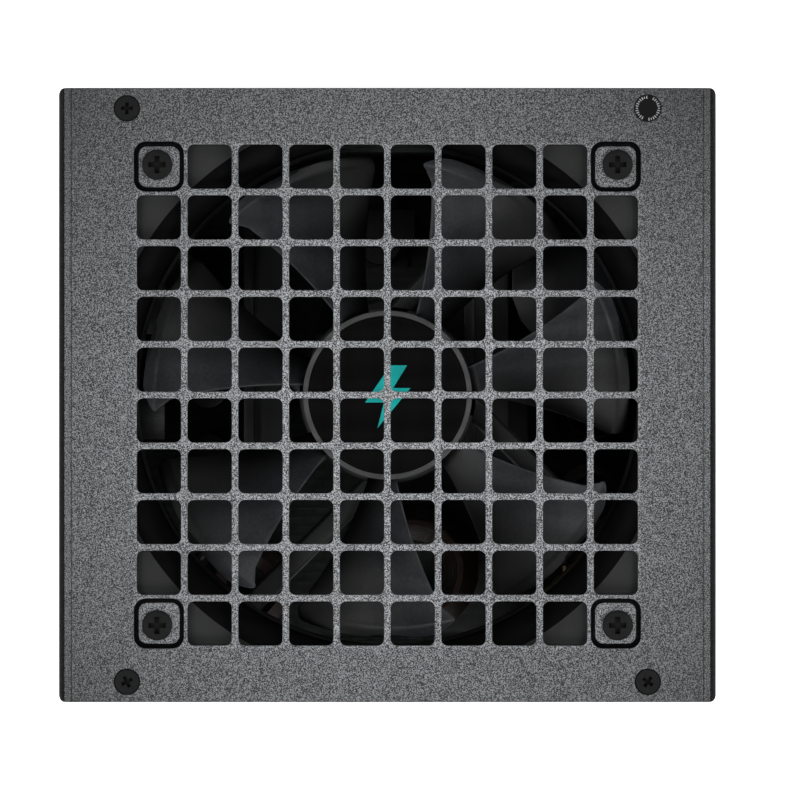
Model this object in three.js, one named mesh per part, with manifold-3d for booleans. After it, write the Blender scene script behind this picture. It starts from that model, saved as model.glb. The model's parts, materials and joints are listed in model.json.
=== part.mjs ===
// Power supply unit for a desktop computer: a folded steel case of the ATX size, a 120 mm fan under
// a grille of square holes, a mains panel with inlet and rocker switch, and a panel of output sockets.
// Millimetres, +Z up. The fan face is on top, the mains panel faces -Y and the socket panel +Y.
// The origin is the middle of the underside.

import * as THREE from 'three';
import { mergeVertices } from 'three/addons/utils/BufferGeometryUtils.js';
import ManifoldModule from 'manifold-3d';

// ---------------------------------------------------------------- driving dimensions

// Case
const WIDTH = 150;
const DEPTH = 140;
const HEIGHT = 86;
const SHEET = 1;
const COVER_BEND = 3;
const BASE_BEND = 1.6;
const COVER_FOOT = 0.4;
const SEAM = 0.3;
const CONTACT_GAP = 0.1;
const SIDE_FLANGE = 8;

// Grille of the fan face
const HOLES_PER_SIDE = 10;
const HOLE_PITCH = 11.57;
const HOLE_SIZE = 10.06;
const HOLE_CHAMFER = 0.8;
const POCKET_OPENING = 11.2;
const POCKET_FLOOR = 9.3;
const POCKET_DEPTH = 1.6;
const POCKET_WALL = 1.2;

// Cover screws, countersunk, into tabs of the base
const COVER_SCREW_X = 59.35;
const COVER_SCREW_Y = 65.35;
const COVER_HEAD_RADIUS = 2.85;
const COVER_SHANK_RADIUS = 1.5;
const COVER_SCREW_LENGTH = 7;
const COVER_HEAD_SETBACK = 0.05;
const COVER_CROSS = { depth: 0.9, reach: 1.6 };
const CROSS_WIDTH = 0.9;
const SCREW_POINT = 0.4;
const TAB_WIDTH = 13;
const TAB_REACH = 8;
const SEAL_RADIUS = 3.2;
const SEAL_THICKNESS = 0.12;
const SEAL_GAP = 0.03;

// Fan
const FAN_SIZE = 120;
const FAN_DEPTH = 25;
const FAN_CORNER = 5;
const FAN_SCREW_SPACING = 105;
const FAN_BORE_RADIUS = 58;
const FAN_WALL = 2;
const FAN_FLANGE = 4;
const FAN_HOLE_RADIUS = 2.5;
const FAN_SCREW_HOLE_RADIUS = 2.6;
const FAN_SCREW_HEAD_RADIUS = 3.45;
const FAN_SCREW_HEAD_SIDE = 0.7;
const FAN_SCREW_HEAD_SHOULDER = [0.5, 1.2];
const FAN_SCREW_HEAD_CROWN = 1.4;
const FAN_SCREW_HEAD_HEIGHT = 1.5;
const FAN_SCREW_LENGTH = 9;
const FAN_SCREW_POINT = [1, 1.5];
const FAN_CROSS = { depth: 1, reach: 1.9 };
const MOTOR_BASE_RADIUS = 20.5;
const MOTOR_BASE_FLOOR = 1.6;
const MOTOR_BASE_RIM = 1.4;
const STRUT_WIDTH = 5;
const STRUT_THICKNESS = 3;
const STRUT_COUNT = 4;
const STRUT_SKEW = 12;
const BEARING_TUBE_RADIUS = 4.6;
const BEARING_TUBE_HEIGHT = 17;
const BEARING_RADIUS = 3.4;
const BEARING_LOW = 2;
const YOKE_RADIUS = 7;
const YOKE_HEIGHTS = [5, 14.5];
const SHOE_RADII = [12.2, 13.6];
const SHOE_HEIGHTS = [7, 12.5];
const POLE_COUNT = 4;
const POLE_GAP = 2.4;
const COIL_SIZE = [6.4, 8, 8];
const COIL_RADIUS = 9.4;
const COIL_Z = 9.75;
const MAGNET_THICKNESS = 3;
const MAGNET_INSET = [0.4, 1];
const SHAFT_RADIUS = 1.5;
const SHAFT_FOOT = 2.6;
const SHAFT_CHAMFER = 0.3;
const RUNNING_CLEARANCE = 0.05;
const HUB_RADIUS = 19.4;
const HUB_WALL = 1.4;
const HUB_LOW = 4.9;
const HUB_TOP = 22.2;
const HUB_EDGE = [0.4, 0.6];
const BOSS_RADIUS = 3.4;
const BOSS_LOW = 17.2;
const LABEL_RADIUS = 18.1;
const LABEL_THICKNESS = 0.2;
const LABEL_RECESS = 0.4;
const BLADE_COUNT = 7;
const BLADE_TIP_RADIUS = 56;
const BLADE_ROOT_RADIUS = 18.8;
const BLADE_THICKNESS = 1.5;
const BLADE_HIGH = 21.4;
const BLADE_LOW = 6;
const FIRST_BLADE_ANGLE = 79;
const BLADE_ROUND_FROM = 52.5;
const BLADE_SECTION_RADII = [BLADE_ROOT_RADIUS, 30, 42, BLADE_ROUND_FROM, 55, BLADE_TIP_RADIUS];
const BLADE_CHORD_STEPS = 4;
const BLADE_CAMBER = 0.25;
const BLADE_EDGE_SHARE = 0.55;
const LEADING_EDGE = { root: -9, sweep: 9, rounding: -5 };
const TRAILING_EDGE = { root: -27, sweep: -10.5, rounding: 2.5 };

// Mains panel, on the -Y side
const RECESS_DEPTH = 4.5;
const RECESS_X = 49.5;
const RECESS_WIDTH = 33;
const RECESS_LOW = 7;
const RECESS_HIGH = 59;
const RECESS_CORNER = 2;
const BEZEL = 1.5;
const FLANGE_CORNER = 2;
const INLET_Z = 20.5;
const INLET_FLANGE = [31, 24];
const INLET_BODY = [26.8, 19.6];
const INLET_CAVITY = [24.4, 16.6];
const INLET_CHAMFER = 4.6;
const INLET_CAVITY_DEPTH = 16.5;
const INLET_BODY_DEPTH = 20;
const PIN_TAIL_THICKNESS = 0.8;
const PIN_SIZE = [2, 4];
const PIN_SPREAD = 7;
const PIN_OFFSET = 2;
const PIN_TIP_DEPTH = 5.5;
const PIN_TAIL = 6;
const SWITCH_Z = 45.5;
const SWITCH_FLANGE = [17, 24];
const SWITCH_BODY = [14.4, 21.2];
const SWITCH_BODY_DEPTH = 17;
const SWITCH_CHAMBER_DEPTH = 13;
const ROCKER_WIDTH = 11.2;
const ROCKER_HALF_LENGTH = 7.6;
const ROCKER_PIVOT_DEPTH = 4.5;
const ROCKER_HALF_TRAVEL = 9;
const ROCKER_CLEARANCE = 0.3;
const ROCKER_SKIRT_ANGLE = 0.1;
const ROCKER_FOOT_HALF_LENGTH = 3;
const ROCKER_FOOT_DEPTH = 4.5;
const TRUNNION_RADIUS = 1.2;
const TRUNNION_REACH = 0.7;
const HEX_PITCH = 9.2;
const HEX_ACROSS = 7.8;
const HEX_COLUMNS = 10;
const HEX_ROWS = 9;
const HEX_FIRST_X = -60;
const HEX_FIRST_Z = 12;
const CASE_THREAD_RADIUS = 1.8;
const THREAD_SEGMENTS = 5;
const CASE_THREADS = [[-69, 6], [69, 6], [45, 80], [-69, 70]];

// Socket panel, on the +Y side
const CELL_PITCH = 4.2;
const CELL_SIZE = 3.5;
const CELL_DEPTH = 9;
const SOCKET_WALL = 0.6;
const SOCKET_DEPTH = 11.4;
const SOCKET_SETBACK = 0.1;
const LATCH_WIDTH = 5;
const LATCH_HEIGHT = 1.2;
const LATCH_SHARE = 0.6;
const UPPER_ROW_Z = 47;
const LOWER_ROW_Z = 25;
const SOCKETS = [
  { name: 'motherboard_socket_18_way', columns: 9, x: -45, z: UPPER_ROW_Z },
  { name: 'motherboard_socket_10_way', columns: 5, x: -7, z: UPPER_ROW_Z },
  { name: 'processor_socket_1', columns: 4, x: 22, z: UPPER_ROW_Z },
  { name: 'processor_socket_2', columns: 4, x: 48, z: UPPER_ROW_Z },
  { name: 'graphics_socket_1', columns: 4, x: -55.5, z: LOWER_ROW_Z },
  { name: 'graphics_socket_2', columns: 4, x: -29.5, z: LOWER_ROW_Z },
  { name: 'drive_socket_1', columns: 3, x: -4, z: LOWER_ROW_Z },
  { name: 'drive_socket_2', columns: 3, x: 20, z: LOWER_ROW_Z },
  { name: 'drive_socket_3', columns: 3, x: 44, z: LOWER_ROW_Z },
];

const SOCKET_BOARD_HALF_WIDTH = 69;
const SOCKET_BOARD_HEIGHTS = [12, 57];

// Circuit board
const BOARD_THICKNESS = 1.6;
const BOARD_Z = 6.4;
const BOARD_HALF_WIDTH = 66;
const BOARD_REAR = -63.5;
const BOARD_FRONT = 52;
const STANDOFF_RADIUS = 3;
const BOARD_SCREW_RADIUS = 1.4;
const BOARD_SCREW_LENGTH = 5;
const BOARD_SCREW_HEAD_RADII = [2.7, 2.3];
const BOARD_SCREW_HEAD_HEIGHT = 1.9;
const BOARD_SCREW_SLOT = 0.8;
const BOARD_HOLE_GAP = 0.2;
const BOARD_SCREW_SPOTS = [[-61, -58], [61, -58], [-61, 47], [61, 47]];
const FILM_THICKNESS = 0.5;
const FILM_MARGIN = 2;

// What stands on the board, each at its spot of x and y
const COMMON_MODE_CHOKE = { inner: 4.5, outer: 10, height: 10, spots: [[50, -26], [50, -3]] };
const FILTER_CAPACITOR = { width: 8, depth: 20, height: 16, spot: [33, -30] };
const BRIDGE_RECTIFIER = { width: 4.6, depth: 24, height: 22, spot: [31, -4] };
const BULK_CAPACITOR = { radius: 17, height: 40, spot: [46, 26] };
const POWER_FACTOR_CHOKE = { inner: 7, outer: 16, height: 15, spot: [6, -42] };
const PRIMARY_HEATSINK = { length: 64, height: 38, spot: [18, 12] };
const SECONDARY_HEATSINK = { length: 72, height: 34, spot: [-34, 8] };
const HEATSINK_PLATE = 2.4;
const FIN_REACH = 8;
const FIN_PITCH = 4;
const FIN_THICKNESS = 1.2;
const PLAIN_SHARE = 0.62;
const MAIN_TRANSFORMER = { width: 30, depth: 34, height: 30, spot: [-2, 6] };
const STANDBY_TRANSFORMER = { width: 17, depth: 18, height: 17, spot: [-2, 40] };
const TRANSFORMER_FOOT = 2;
const TRANSFORMER_SHARES = { leg: 0.2, core: 0.5, windingX: 0.36, windingY: 0.48, foot: 0.8 };
const OUTPUT_CAPACITOR = { radius: 5, height: 22, spots: [[-43, -30], [-43, -14], [-43, 2], [-43, 18]] };
const CAN_GROOVE = { low: 0.1, middle: 0.13, high: 0.16, depth: 0.6 };
const CONVERTER_BOARD = { length: 50, height: 36, spot: [-60, 8] };
const CONVERTER_COIL = { size: 12, reach: 7, low: 0.4, shares: [-0.25, 0.25] };
const OUTPUT_CHOKE = { inner: 5, outer: 11, height: 12, spot: [-34, -46] };
const CHOKE_ROUNDING = 0.25;

// Wires. Each path is a list of x, y and z.
const WIRE_RADIUS = 1.1;
const WIRE_STEPS = 12;
const WIRE_SIDES = 6;
const FAN_LEAD_TOP = [[-12, -12, 0], [-30, -26, 0], [-52, -44, 0], [-62, -50, -8]];
const FAN_LEAD_DROP = [[-64, -50, 34], [-62, -46, 18]];
const FAN_LEAD_FOOT = [-58, -42];
const LINE_WIRE_START = [[0, 0, 0], [0, 5, 2], [-1, 7, 12]];
const LINE_WIRE_END = [[3.2, 3, -5], [3, 5, 0], [3, 0, 0]];
const NEUTRAL_WIRE_START = [[0, 0, 0], [0, 4, -1], [-3, 5, -8]];
const NEUTRAL_WIRE_END = [[-4, 1, 4], [-4, 0, 0]];
const EARTH_WIRE_START = [[0, 0, 0], [0, 2.5, -1], [1, 2, -7]];
const EARTH_WIRE_END = [[2, -1, 4], [2, -1, 0]];

// ---------------------------------------------------------------- solids

const wasm = await ManifoldModule();
wasm.setup();

const MERGE_DISTANCE = 1e-4;
const FEW_SIDES = 12;
const SOME_SIDES = 18;
const ROUND_SIDES = 32;

// Turns a closed three.js geometry into a solid, leaving out the slivers at a lathe's poles.
function solidOf(geometry) {
  const bare = geometry.clone();
  bare.deleteAttribute('normal');
  bare.deleteAttribute('uv');
  const merged = mergeVertices(bare, MERGE_DISTANCE);
  const corners = merged.index.array;
  const kept = [];
  for (let i = 0; i < corners.length; i += 3) {
    const [a, b, c] = [corners[i], corners[i + 1], corners[i + 2]];
    if (a !== b && b !== c && c !== a) kept.push(a, b, c);
  }
  return new wasm.Manifold(new wasm.Mesh({
    numProp: 3,
    vertProperties: new Float32Array(merged.attributes.position.array),
    triVerts: new Uint32Array(kept),
  }));
}

function geometryOf(solid) {
  const mesh = solid.getMesh();
  const geometry = new THREE.BufferGeometry();
  geometry.setAttribute('position', new THREE.BufferAttribute(new Float32Array(mesh.vertProperties), 3));
  geometry.setIndex(new THREE.BufferAttribute(new Uint32Array(mesh.triVerts), 1));
  geometry.computeVertexNormals();
  return geometry;
}

const join = (first, ...others) => others.reduce((sum, other) => sum.add(other), first);
const cut = (first, ...tools) => tools.reduce((rest, tool) => rest.subtract(tool), first);

function box(low, high) {
  const size = high.map((value, axis) => value - low[axis]);
  const middle = high.map((value, axis) => (value + low[axis]) / 2);
  return solidOf(new THREE.BoxGeometry(...size).translate(...middle));
}

// A box centred on X and Y, between two heights.
const block = (width, depth, low, high) => box([-width / 2, -depth / 2, low], [width / 2, depth / 2, high]);

// A solid of revolution about Z: points are [radius, height], going up the outside.
function turned(points, sides = FEW_SIDES) {
  const profile = points.map(([radius, height]) => new THREE.Vector2(radius, height));
  return solidOf(new THREE.LatheGeometry(profile, sides).rotateX(Math.PI / 2));
}

function disc(radius, low, high, sides) {
  return turned([[0, low], [radius, low], [radius, high], [0, high]], sides);
}

function ring(inner, outer, low, high, sides) {
  return turned([[inner, low], [outer, low], [outer, high], [inner, high], [inner, low]], sides);
}

function discAt(x, y, radius, low, high, sides = FEW_SIDES) {
  const geometry = new THREE.CylinderGeometry(radius, radius, high - low, sides);
  return solidOf(geometry.rotateX(Math.PI / 2).translate(x, y, (low + high) / 2));
}

// A stump of a cone or pyramid along Z, wider or narrower at the top.
function stump(x, y, lowRadius, highRadius, low, high, sides = FEW_SIDES, turn = 0) {
  const geometry = new THREE.CylinderGeometry(highRadius, lowRadius, high - low, sides);
  return solidOf(geometry.rotateX(Math.PI / 2).rotateZ(turn).translate(x, y, (low + high) / 2));
}

function squareStump(x, y, lowWidth, highWidth, low, high) {
  return stump(x, y, lowWidth * Math.SQRT1_2, highWidth * Math.SQRT1_2, low, high, 4, Math.PI / 4);
}

// Extrudes outlines along an axis. Along x an outline is drawn in (y, z), along y in (x, z).
const axisX = new THREE.Vector3(1, 0, 0);
const axisY = new THREE.Vector3(0, 1, 0);
const axisZ = new THREE.Vector3(0, 0, 1);
const PRISM_FRAMES = {
  x: new THREE.Matrix4().makeBasis(axisY, axisZ, axisX),
  y: new THREE.Matrix4().makeBasis(axisX, axisZ, axisY.clone().negate()),
  z: new THREE.Matrix4(),
};

// An arc gets two straight stretches for each of the curve segments.
function prism(outlines, along, low, high, curveSegments = 1) {
  const options = { depth: high - low, bevelEnabled: false, curveSegments };
  const geometry = new THREE.ExtrudeGeometry(outlines, options);
  geometry.translate(0, 0, along === 'y' ? -high : low);
  return solidOf(geometry.applyMatrix4(PRISM_FRAMES[along]));
}

function polygon(points) {
  return new THREE.Shape(points.map(([x, y]) => new THREE.Vector2(x, y)));
}

function rectangle(centreX, centreY, width, height) {
  const [left, right] = [centreX - width / 2, centreX + width / 2];
  const [low, high] = [centreY - height / 2, centreY + height / 2];
  return polygon([[left, low], [right, low], [right, high], [left, high]]);
}

function roundedRectangle(centreX, centreY, width, height, radius) {
  const [left, right] = [centreX - width / 2, centreX + width / 2];
  const [low, high] = [centreY - height / 2, centreY + height / 2];
  const quarter = Math.PI / 2;
  const shape = new THREE.Shape();
  shape.absarc(right - radius, low + radius, radius, -quarter, 0);
  shape.absarc(right - radius, high - radius, radius, 0, quarter);
  shape.absarc(left + radius, high - radius, radius, quarter, 2 * quarter);
  shape.absarc(left + radius, low + radius, radius, 2 * quarter, 3 * quarter);
  return shape;
}

function chamferedSquare(x, y, size, chamfer) {
  const half = size / 2;
  const inner = half - chamfer;
  const corners = [[half, inner], [inner, half], [-inner, half], [-half, inner]];
  const opposite = corners.map(([cornerX, cornerY]) => [-cornerX, -cornerY]);
  return polygon([...corners, ...opposite].map(([cornerX, cornerY]) => [x + cornerX, y + cornerY]));
}

function hexagon(x, z, across) {
  const corners = [0, 1, 2, 3, 4, 5].map((index) => THREE.MathUtils.degToRad(30 + 60 * index));
  const radius = across / Math.sqrt(3);
  return polygon(corners.map((angle) => [x + radius * Math.cos(angle), z + radius * Math.sin(angle)]));
}

// A channel's outline, open at the top: floor at 0, walls at both ends of its width.
function channelOutline(width, height, bend) {
  const half = width / 2;
  const quarter = Math.PI / 2;
  const inner = bend - SHEET;
  const outline = new THREE.Shape();
  outline.moveTo(-half, height);
  outline.lineTo(-half, bend);
  outline.absarc(-half + bend, bend, bend, 2 * quarter, 3 * quarter);
  outline.absarc(half - bend, bend, bend, 3 * quarter, 4 * quarter);
  outline.lineTo(half, height);
  outline.lineTo(half - SHEET, height);
  outline.absarc(half - bend, bend, inner, 4 * quarter, 3 * quarter, true);
  outline.absarc(-half + bend, bend, inner, 3 * quarter, 2 * quarter, true);
  outline.lineTo(-half + SHEET, height);
  return outline;
}

function wire(points) {
  const path = new THREE.CatmullRomCurve3(points.map((point) => new THREE.Vector3(...point)));
  const circle = Array.from({ length: WIRE_SIDES }, (_, index) => {
    const angle = index * 2 * Math.PI / WIRE_SIDES;
    return [WIRE_RADIUS * Math.cos(angle), WIRE_RADIUS * Math.sin(angle)];
  });
  const options = { steps: WIRE_STEPS, extrudePath: path, bevelEnabled: false };
  return solidOf(new THREE.ExtrudeGeometry(polygon(circle), options));
}

// ---------------------------------------------------------------- finishes

const FINISHES = {
  coatedSteel: { color: 0x46484a, roughness: 0.75, metalness: 0.3 },
  blackSteel: { color: 0x1f2021, roughness: 0.45, metalness: 0.8 },
  blackPlastic: { color: 0x1b1c1d, roughness: 0.5, metalness: 0 },
  smokedPlastic: { color: 0x2a2c2e, roughness: 0.38, metalness: 0 },
  blackLabel: { color: 0x111111, roughness: 0.35, metalness: 0 },
  brass: { color: 0xc9a75a, roughness: 0.3, metalness: 1 },
  steel: { color: 0xb4b6b8, roughness: 0.3, metalness: 1 },
  aluminium: { color: 0x3c3d40, roughness: 0.42, metalness: 0.5 },
  ferrite: { color: 0x3a3a3c, roughness: 0.7, metalness: 0.1 },
  copper: { color: 0x462c1d, roughness: 0.35, metalness: 0 },
  circuitBoard: { color: 0x101a15, roughness: 0.4, metalness: 0 },
  film: { color: 0x24262a, roughness: 0.4, metalness: 0 },
  capacitorSleeve: { color: 0x23262e, roughness: 0.35, metalness: 0 },
  yellowPlastic: { color: 0xc8a93a, roughness: 0.5, metalness: 0 },
  wireSleeve: { color: 0x2b2b2b, roughness: 0.6, metalness: 0 },
};

function piece(parent, name, solid, finish, position = [0, 0, 0], turn = [0, 0, 0]) {
  const mesh = new THREE.Mesh(geometryOf(solid), new THREE.MeshStandardMaterial(FINISHES[finish]));
  mesh.name = name;
  mesh.position.set(...position);
  mesh.rotation.set(...turn);
  parent.add(mesh);
}

function subassembly(parent, position = [0, 0, 0], turn = [0, 0, 0]) {
  const group = new THREE.Group();
  group.position.set(...position);
  group.rotation.set(...turn);
  parent.add(group);
  return group;
}

// ---------------------------------------------------------------- case

const POCKET_SPOT = (HOLES_PER_SIDE - 1) * HOLE_PITCH / 2;
const FAN_SCREW_SPOT = FAN_SCREW_SPACING / 2;
const CORNERS = [[-1, 1], [-1, -1], [1, -1], [1, 1]];
const UNDER_COVER = HEIGHT - SHEET;
const PANEL_TOP = UNDER_COVER - SEAM;

function grilleHoles() {
  const outlines = [];
  const last = HOLES_PER_SIDE - 1;
  for (let column = 0; column <= last; column += 1) {
    for (let row = 0; row <= last; row += 1) {
      const isCorner = (column % last === 0) && (row % last === 0);
      const x = column * HOLE_PITCH - POCKET_SPOT;
      const y = row * HOLE_PITCH - POCKET_SPOT;
      if (!isCorner) outlines.push(chamferedSquare(x, y, HOLE_SIZE, HOLE_CHAMFER));
    }
  }
  return prism(outlines, 'z', UNDER_COVER - 1, HEIGHT + 1);
}

function topCover() {
  const outline = channelOutline(WIDTH, HEIGHT - COVER_FOOT, COVER_BEND);
  const options = { depth: DEPTH, bevelEnabled: false, curveSegments: 2 };
  const folded = new THREE.ExtrudeGeometry(outline, options);
  folded.translate(0, 0, -DEPTH / 2).rotateX(-Math.PI / 2).translate(0, 0, HEIGHT);
  let cover = solidOf(folded);
  const pocketLow = HEIGHT - POCKET_DEPTH;
  for (const [sideX, sideY] of CORNERS) {
    const [x, y] = [sideX * POCKET_SPOT, sideY * POCKET_SPOT];
    const [floor, opening] = [POCKET_FLOOR, POCKET_OPENING];
    const outside = [floor + POCKET_WALL, opening + POCKET_WALL];
    const under = squareStump(x, y, ...outside, pocketLow - SHEET, UNDER_COVER);
    cover = cut(join(cover, under), squareStump(x, y, floor, opening, pocketLow, HEIGHT));
    const [screwX, screwY] = [sideX * FAN_SCREW_SPOT, sideY * FAN_SCREW_SPOT];
    const screwHole = discAt(screwX, screwY, FAN_SCREW_HOLE_RADIUS, pocketLow - FAN_FLANGE, HEIGHT);
    const sinkRadius = COVER_HEAD_RADIUS + CONTACT_GAP;
    const sinkX = sideX * COVER_SCREW_X;
    const sinkY = sideY * COVER_SCREW_Y;
    const sink = stump(sinkX, sinkY, sinkRadius - SHEET, sinkRadius, UNDER_COVER, HEIGHT);
    cover = cut(cover, screwHole, sink);
  }
  return cut(cover, grilleHoles());
}

function hexagonMesh() {
  const outlines = [];
  const rowPitch = HEX_PITCH * Math.sqrt(3) / 2;
  for (let row = 0; row < HEX_ROWS; row += 1) {
    const shifted = row % 2;
    for (let column = 0; column < HEX_COLUMNS - shifted; column += 1) {
      const x = HEX_FIRST_X + (column + shifted / 2) * HEX_PITCH;
      outlines.push(hexagon(x, HEX_FIRST_Z + row * rowPitch, HEX_ACROSS));
    }
  }
  return prism(outlines, 'y', -DEPTH / 2 - 1, -DEPTH / 2 + 2);
}

// Opens the rear panel or its recess for a body of the given size, all the way through.
function mainsOpening(z, [width, height]) {
  const gap = 2 * CONTACT_GAP;
  const outline = rectangle(RECESS_X, z, width + gap, height + gap);
  return prism(outline, 'y', -DEPTH / 2 - 1, -DEPTH / 2 + 2 * RECESS_DEPTH);
}

function mainsRecess(grow, front, back) {
  const height = RECESS_HIGH - RECESS_LOW;
  const middleZ = (RECESS_HIGH + RECESS_LOW) / 2;
  const [outerWidth, outerHeight] = [RECESS_WIDTH + 2 * grow, height + 2 * grow];
  const outline = roundedRectangle(RECESS_X, middleZ, outerWidth, outerHeight, RECESS_CORNER + grow);
  return prism(outline, 'y', front, back);
}

function socketSize(columns) {
  return [columns * CELL_PITCH + 2 * SOCKET_WALL, 2 * CELL_PITCH + 2 * SOCKET_WALL];
}

function socketOpenings() {
  const gap = 2 * CONTACT_GAP;
  return SOCKETS.map(({ columns, x, z }) => {
    const [width, height] = socketSize(columns);
    const halfHeight = height / 2 + CONTACT_GAP;
    const outline = polygon([
      [x - width / 2 - CONTACT_GAP, z - halfHeight],
      [x + width / 2 + CONTACT_GAP, z - halfHeight],
      [x + width / 2 + CONTACT_GAP, z + halfHeight],
      [x + LATCH_WIDTH / 2 + CONTACT_GAP, z + halfHeight],
      [x + LATCH_WIDTH / 2 + CONTACT_GAP, z + halfHeight + LATCH_HEIGHT],
      [x - LATCH_WIDTH / 2 - CONTACT_GAP, z + halfHeight + LATCH_HEIGHT],
      [x - LATCH_WIDTH / 2 - CONTACT_GAP, z + halfHeight],
      [x - width / 2 - CONTACT_GAP, z + halfHeight],
    ]);
    return prism(outline, 'y', DEPTH / 2 - SHEET - gap, DEPTH / 2 + 1);
  });
}

function baseChassis() {
  const innerHalf = WIDTH / 2 - SHEET - SEAM;
  const panelY = DEPTH / 2 - SHEET;
  const flangeEnd = panelY - BASE_BEND;
  let base = prism(channelOutline(DEPTH, PANEL_TOP, BASE_BEND), 'x', -innerHalf, innerHalf);
  for (const side of [-1, 1]) {
    const wallX = [side * innerHalf, side * (innerHalf - SHEET)].sort((a, b) => a - b);
    const flange = box([wallX[0], -flangeEnd, SHEET / 2], [wallX[1], flangeEnd, SHEET + SIDE_FLANGE]);
    const outside = side * (innerHalf + 1);
    const slant = COVER_BEND + 1;
    const foldRelief = polygon([
      [outside, PANEL_TOP + 1],
      [outside - side * slant, PANEL_TOP + 1],
      [outside, PANEL_TOP + 1 - slant],
    ]);
    base = cut(join(base, flange), prism(foldRelief, 'y', -DEPTH, DEPTH));
  }
  for (const [sideX, sideY] of CORNERS) {
    const [screwX, screwY] = [sideX * COVER_SCREW_X, sideY * COVER_SCREW_Y];
    const reachY = [sideY * (panelY + SHEET / 2), sideY * (panelY - TAB_REACH)].sort((a, b) => a - b);
    const low = [screwX - TAB_WIDTH / 2, reachY[0], PANEL_TOP - SHEET];
    const high = [screwX + TAB_WIDTH / 2, reachY[1], PANEL_TOP];
    const threadRadius = COVER_SHANK_RADIUS + CONTACT_GAP;
    const collar = discAt(screwX, screwY, threadRadius + 1, PANEL_TOP - 2 * SHEET, PANEL_TOP - SHEET / 2);
    const thread = discAt(screwX, screwY, threadRadius, PANEL_TOP - 3 * SHEET, PANEL_TOP + 1);
    base = cut(join(base, box(low, high), collar), thread);
  }
  for (const [x, y] of BOARD_SCREW_SPOTS) {
    const top = BOARD_Z - CONTACT_GAP;
    const post = discAt(x, y, STANDOFF_RADIUS, SHEET / 2, top);
    base = cut(join(base, post), discAt(x, y, BOARD_SCREW_RADIUS + CONTACT_GAP, SHEET, top + 1));
  }
  const rearFace = -DEPTH / 2;
  base = join(base, mainsRecess(SHEET, rearFace + SHEET / 2, rearFace + RECESS_DEPTH + SHEET));
  base = cut(base, mainsRecess(0, rearFace - 1, rearFace + RECESS_DEPTH));
  for (const [x, z] of CASE_THREADS) {
    const circle = new THREE.Shape().absarc(x, z, CASE_THREAD_RADIUS, 0, 2 * Math.PI);
    const rim = new THREE.Shape().absarc(x, z, CASE_THREAD_RADIUS + 1, 0, 2 * Math.PI);
    const back = rearFace + 2 * SHEET + SEAM;
    base = join(base, prism(rim, 'y', rearFace + SHEET / 2, back, THREAD_SEGMENTS));
    base = cut(base, prism(circle, 'y', rearFace - 1, back + 1, THREAD_SEGMENTS));
  }
  base = cut(base, mainsOpening(INLET_Z, INLET_BODY), mainsOpening(SWITCH_Z, SWITCH_BODY));
  return cut(base, hexagonMesh(), ...socketOpenings());
}

// A cross recess for a Phillips driver, sunk from the given height.
function crossRecess(top, { depth, reach }) {
  const across = block(2 * reach, CROSS_WIDTH, top - depth, top + 1);
  const along = block(CROSS_WIDTH, 2 * reach, top - depth, top + 1);
  return join(across, along);
}

// Countersunk screw: its origin is in the plane of the case's face.
function coverScrew() {
  const top = -COVER_HEAD_SETBACK;
  const coneLow = top - SHEET;
  const tip = -COVER_SCREW_LENGTH;
  const shankRadius = COVER_SHANK_RADIUS - CONTACT_GAP;
  const body = turned([
    [0, tip],
    [shankRadius - SCREW_POINT, tip],
    [shankRadius, tip + SCREW_POINT],
    [shankRadius, coneLow],
    [COVER_HEAD_RADIUS - SHEET, coneLow],
    [COVER_HEAD_RADIUS, top],
    [0, top],
  ]);
  return cut(body, crossRecess(top, COVER_CROSS));
}

// Pan-head screw: its origin is on the bearing face under the head.
function fanScrew() {
  const headRadius = FAN_SCREW_HEAD_RADIUS;
  const shankRadius = FAN_HOLE_RADIUS - 2 * CONTACT_GAP;
  const [pointWidth, pointHeight] = FAN_SCREW_POINT;
  const [shoulderInset, shoulderHeight] = FAN_SCREW_HEAD_SHOULDER;
  const body = turned([
    [0, -FAN_SCREW_LENGTH],
    [shankRadius - pointWidth, -FAN_SCREW_LENGTH],
    [shankRadius, pointHeight - FAN_SCREW_LENGTH],
    [shankRadius, 0],
    [headRadius, 0],
    [headRadius, FAN_SCREW_HEAD_SIDE],
    [headRadius - shoulderInset, shoulderHeight],
    [headRadius - FAN_SCREW_HEAD_CROWN, FAN_SCREW_HEAD_HEIGHT],
    [0, FAN_SCREW_HEAD_HEIGHT],
  ]);
  return cut(body, crossRecess(FAN_SCREW_HEAD_HEIGHT, FAN_CROSS));
}

// ---------------------------------------------------------------- fan, its origin under the hub

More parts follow.
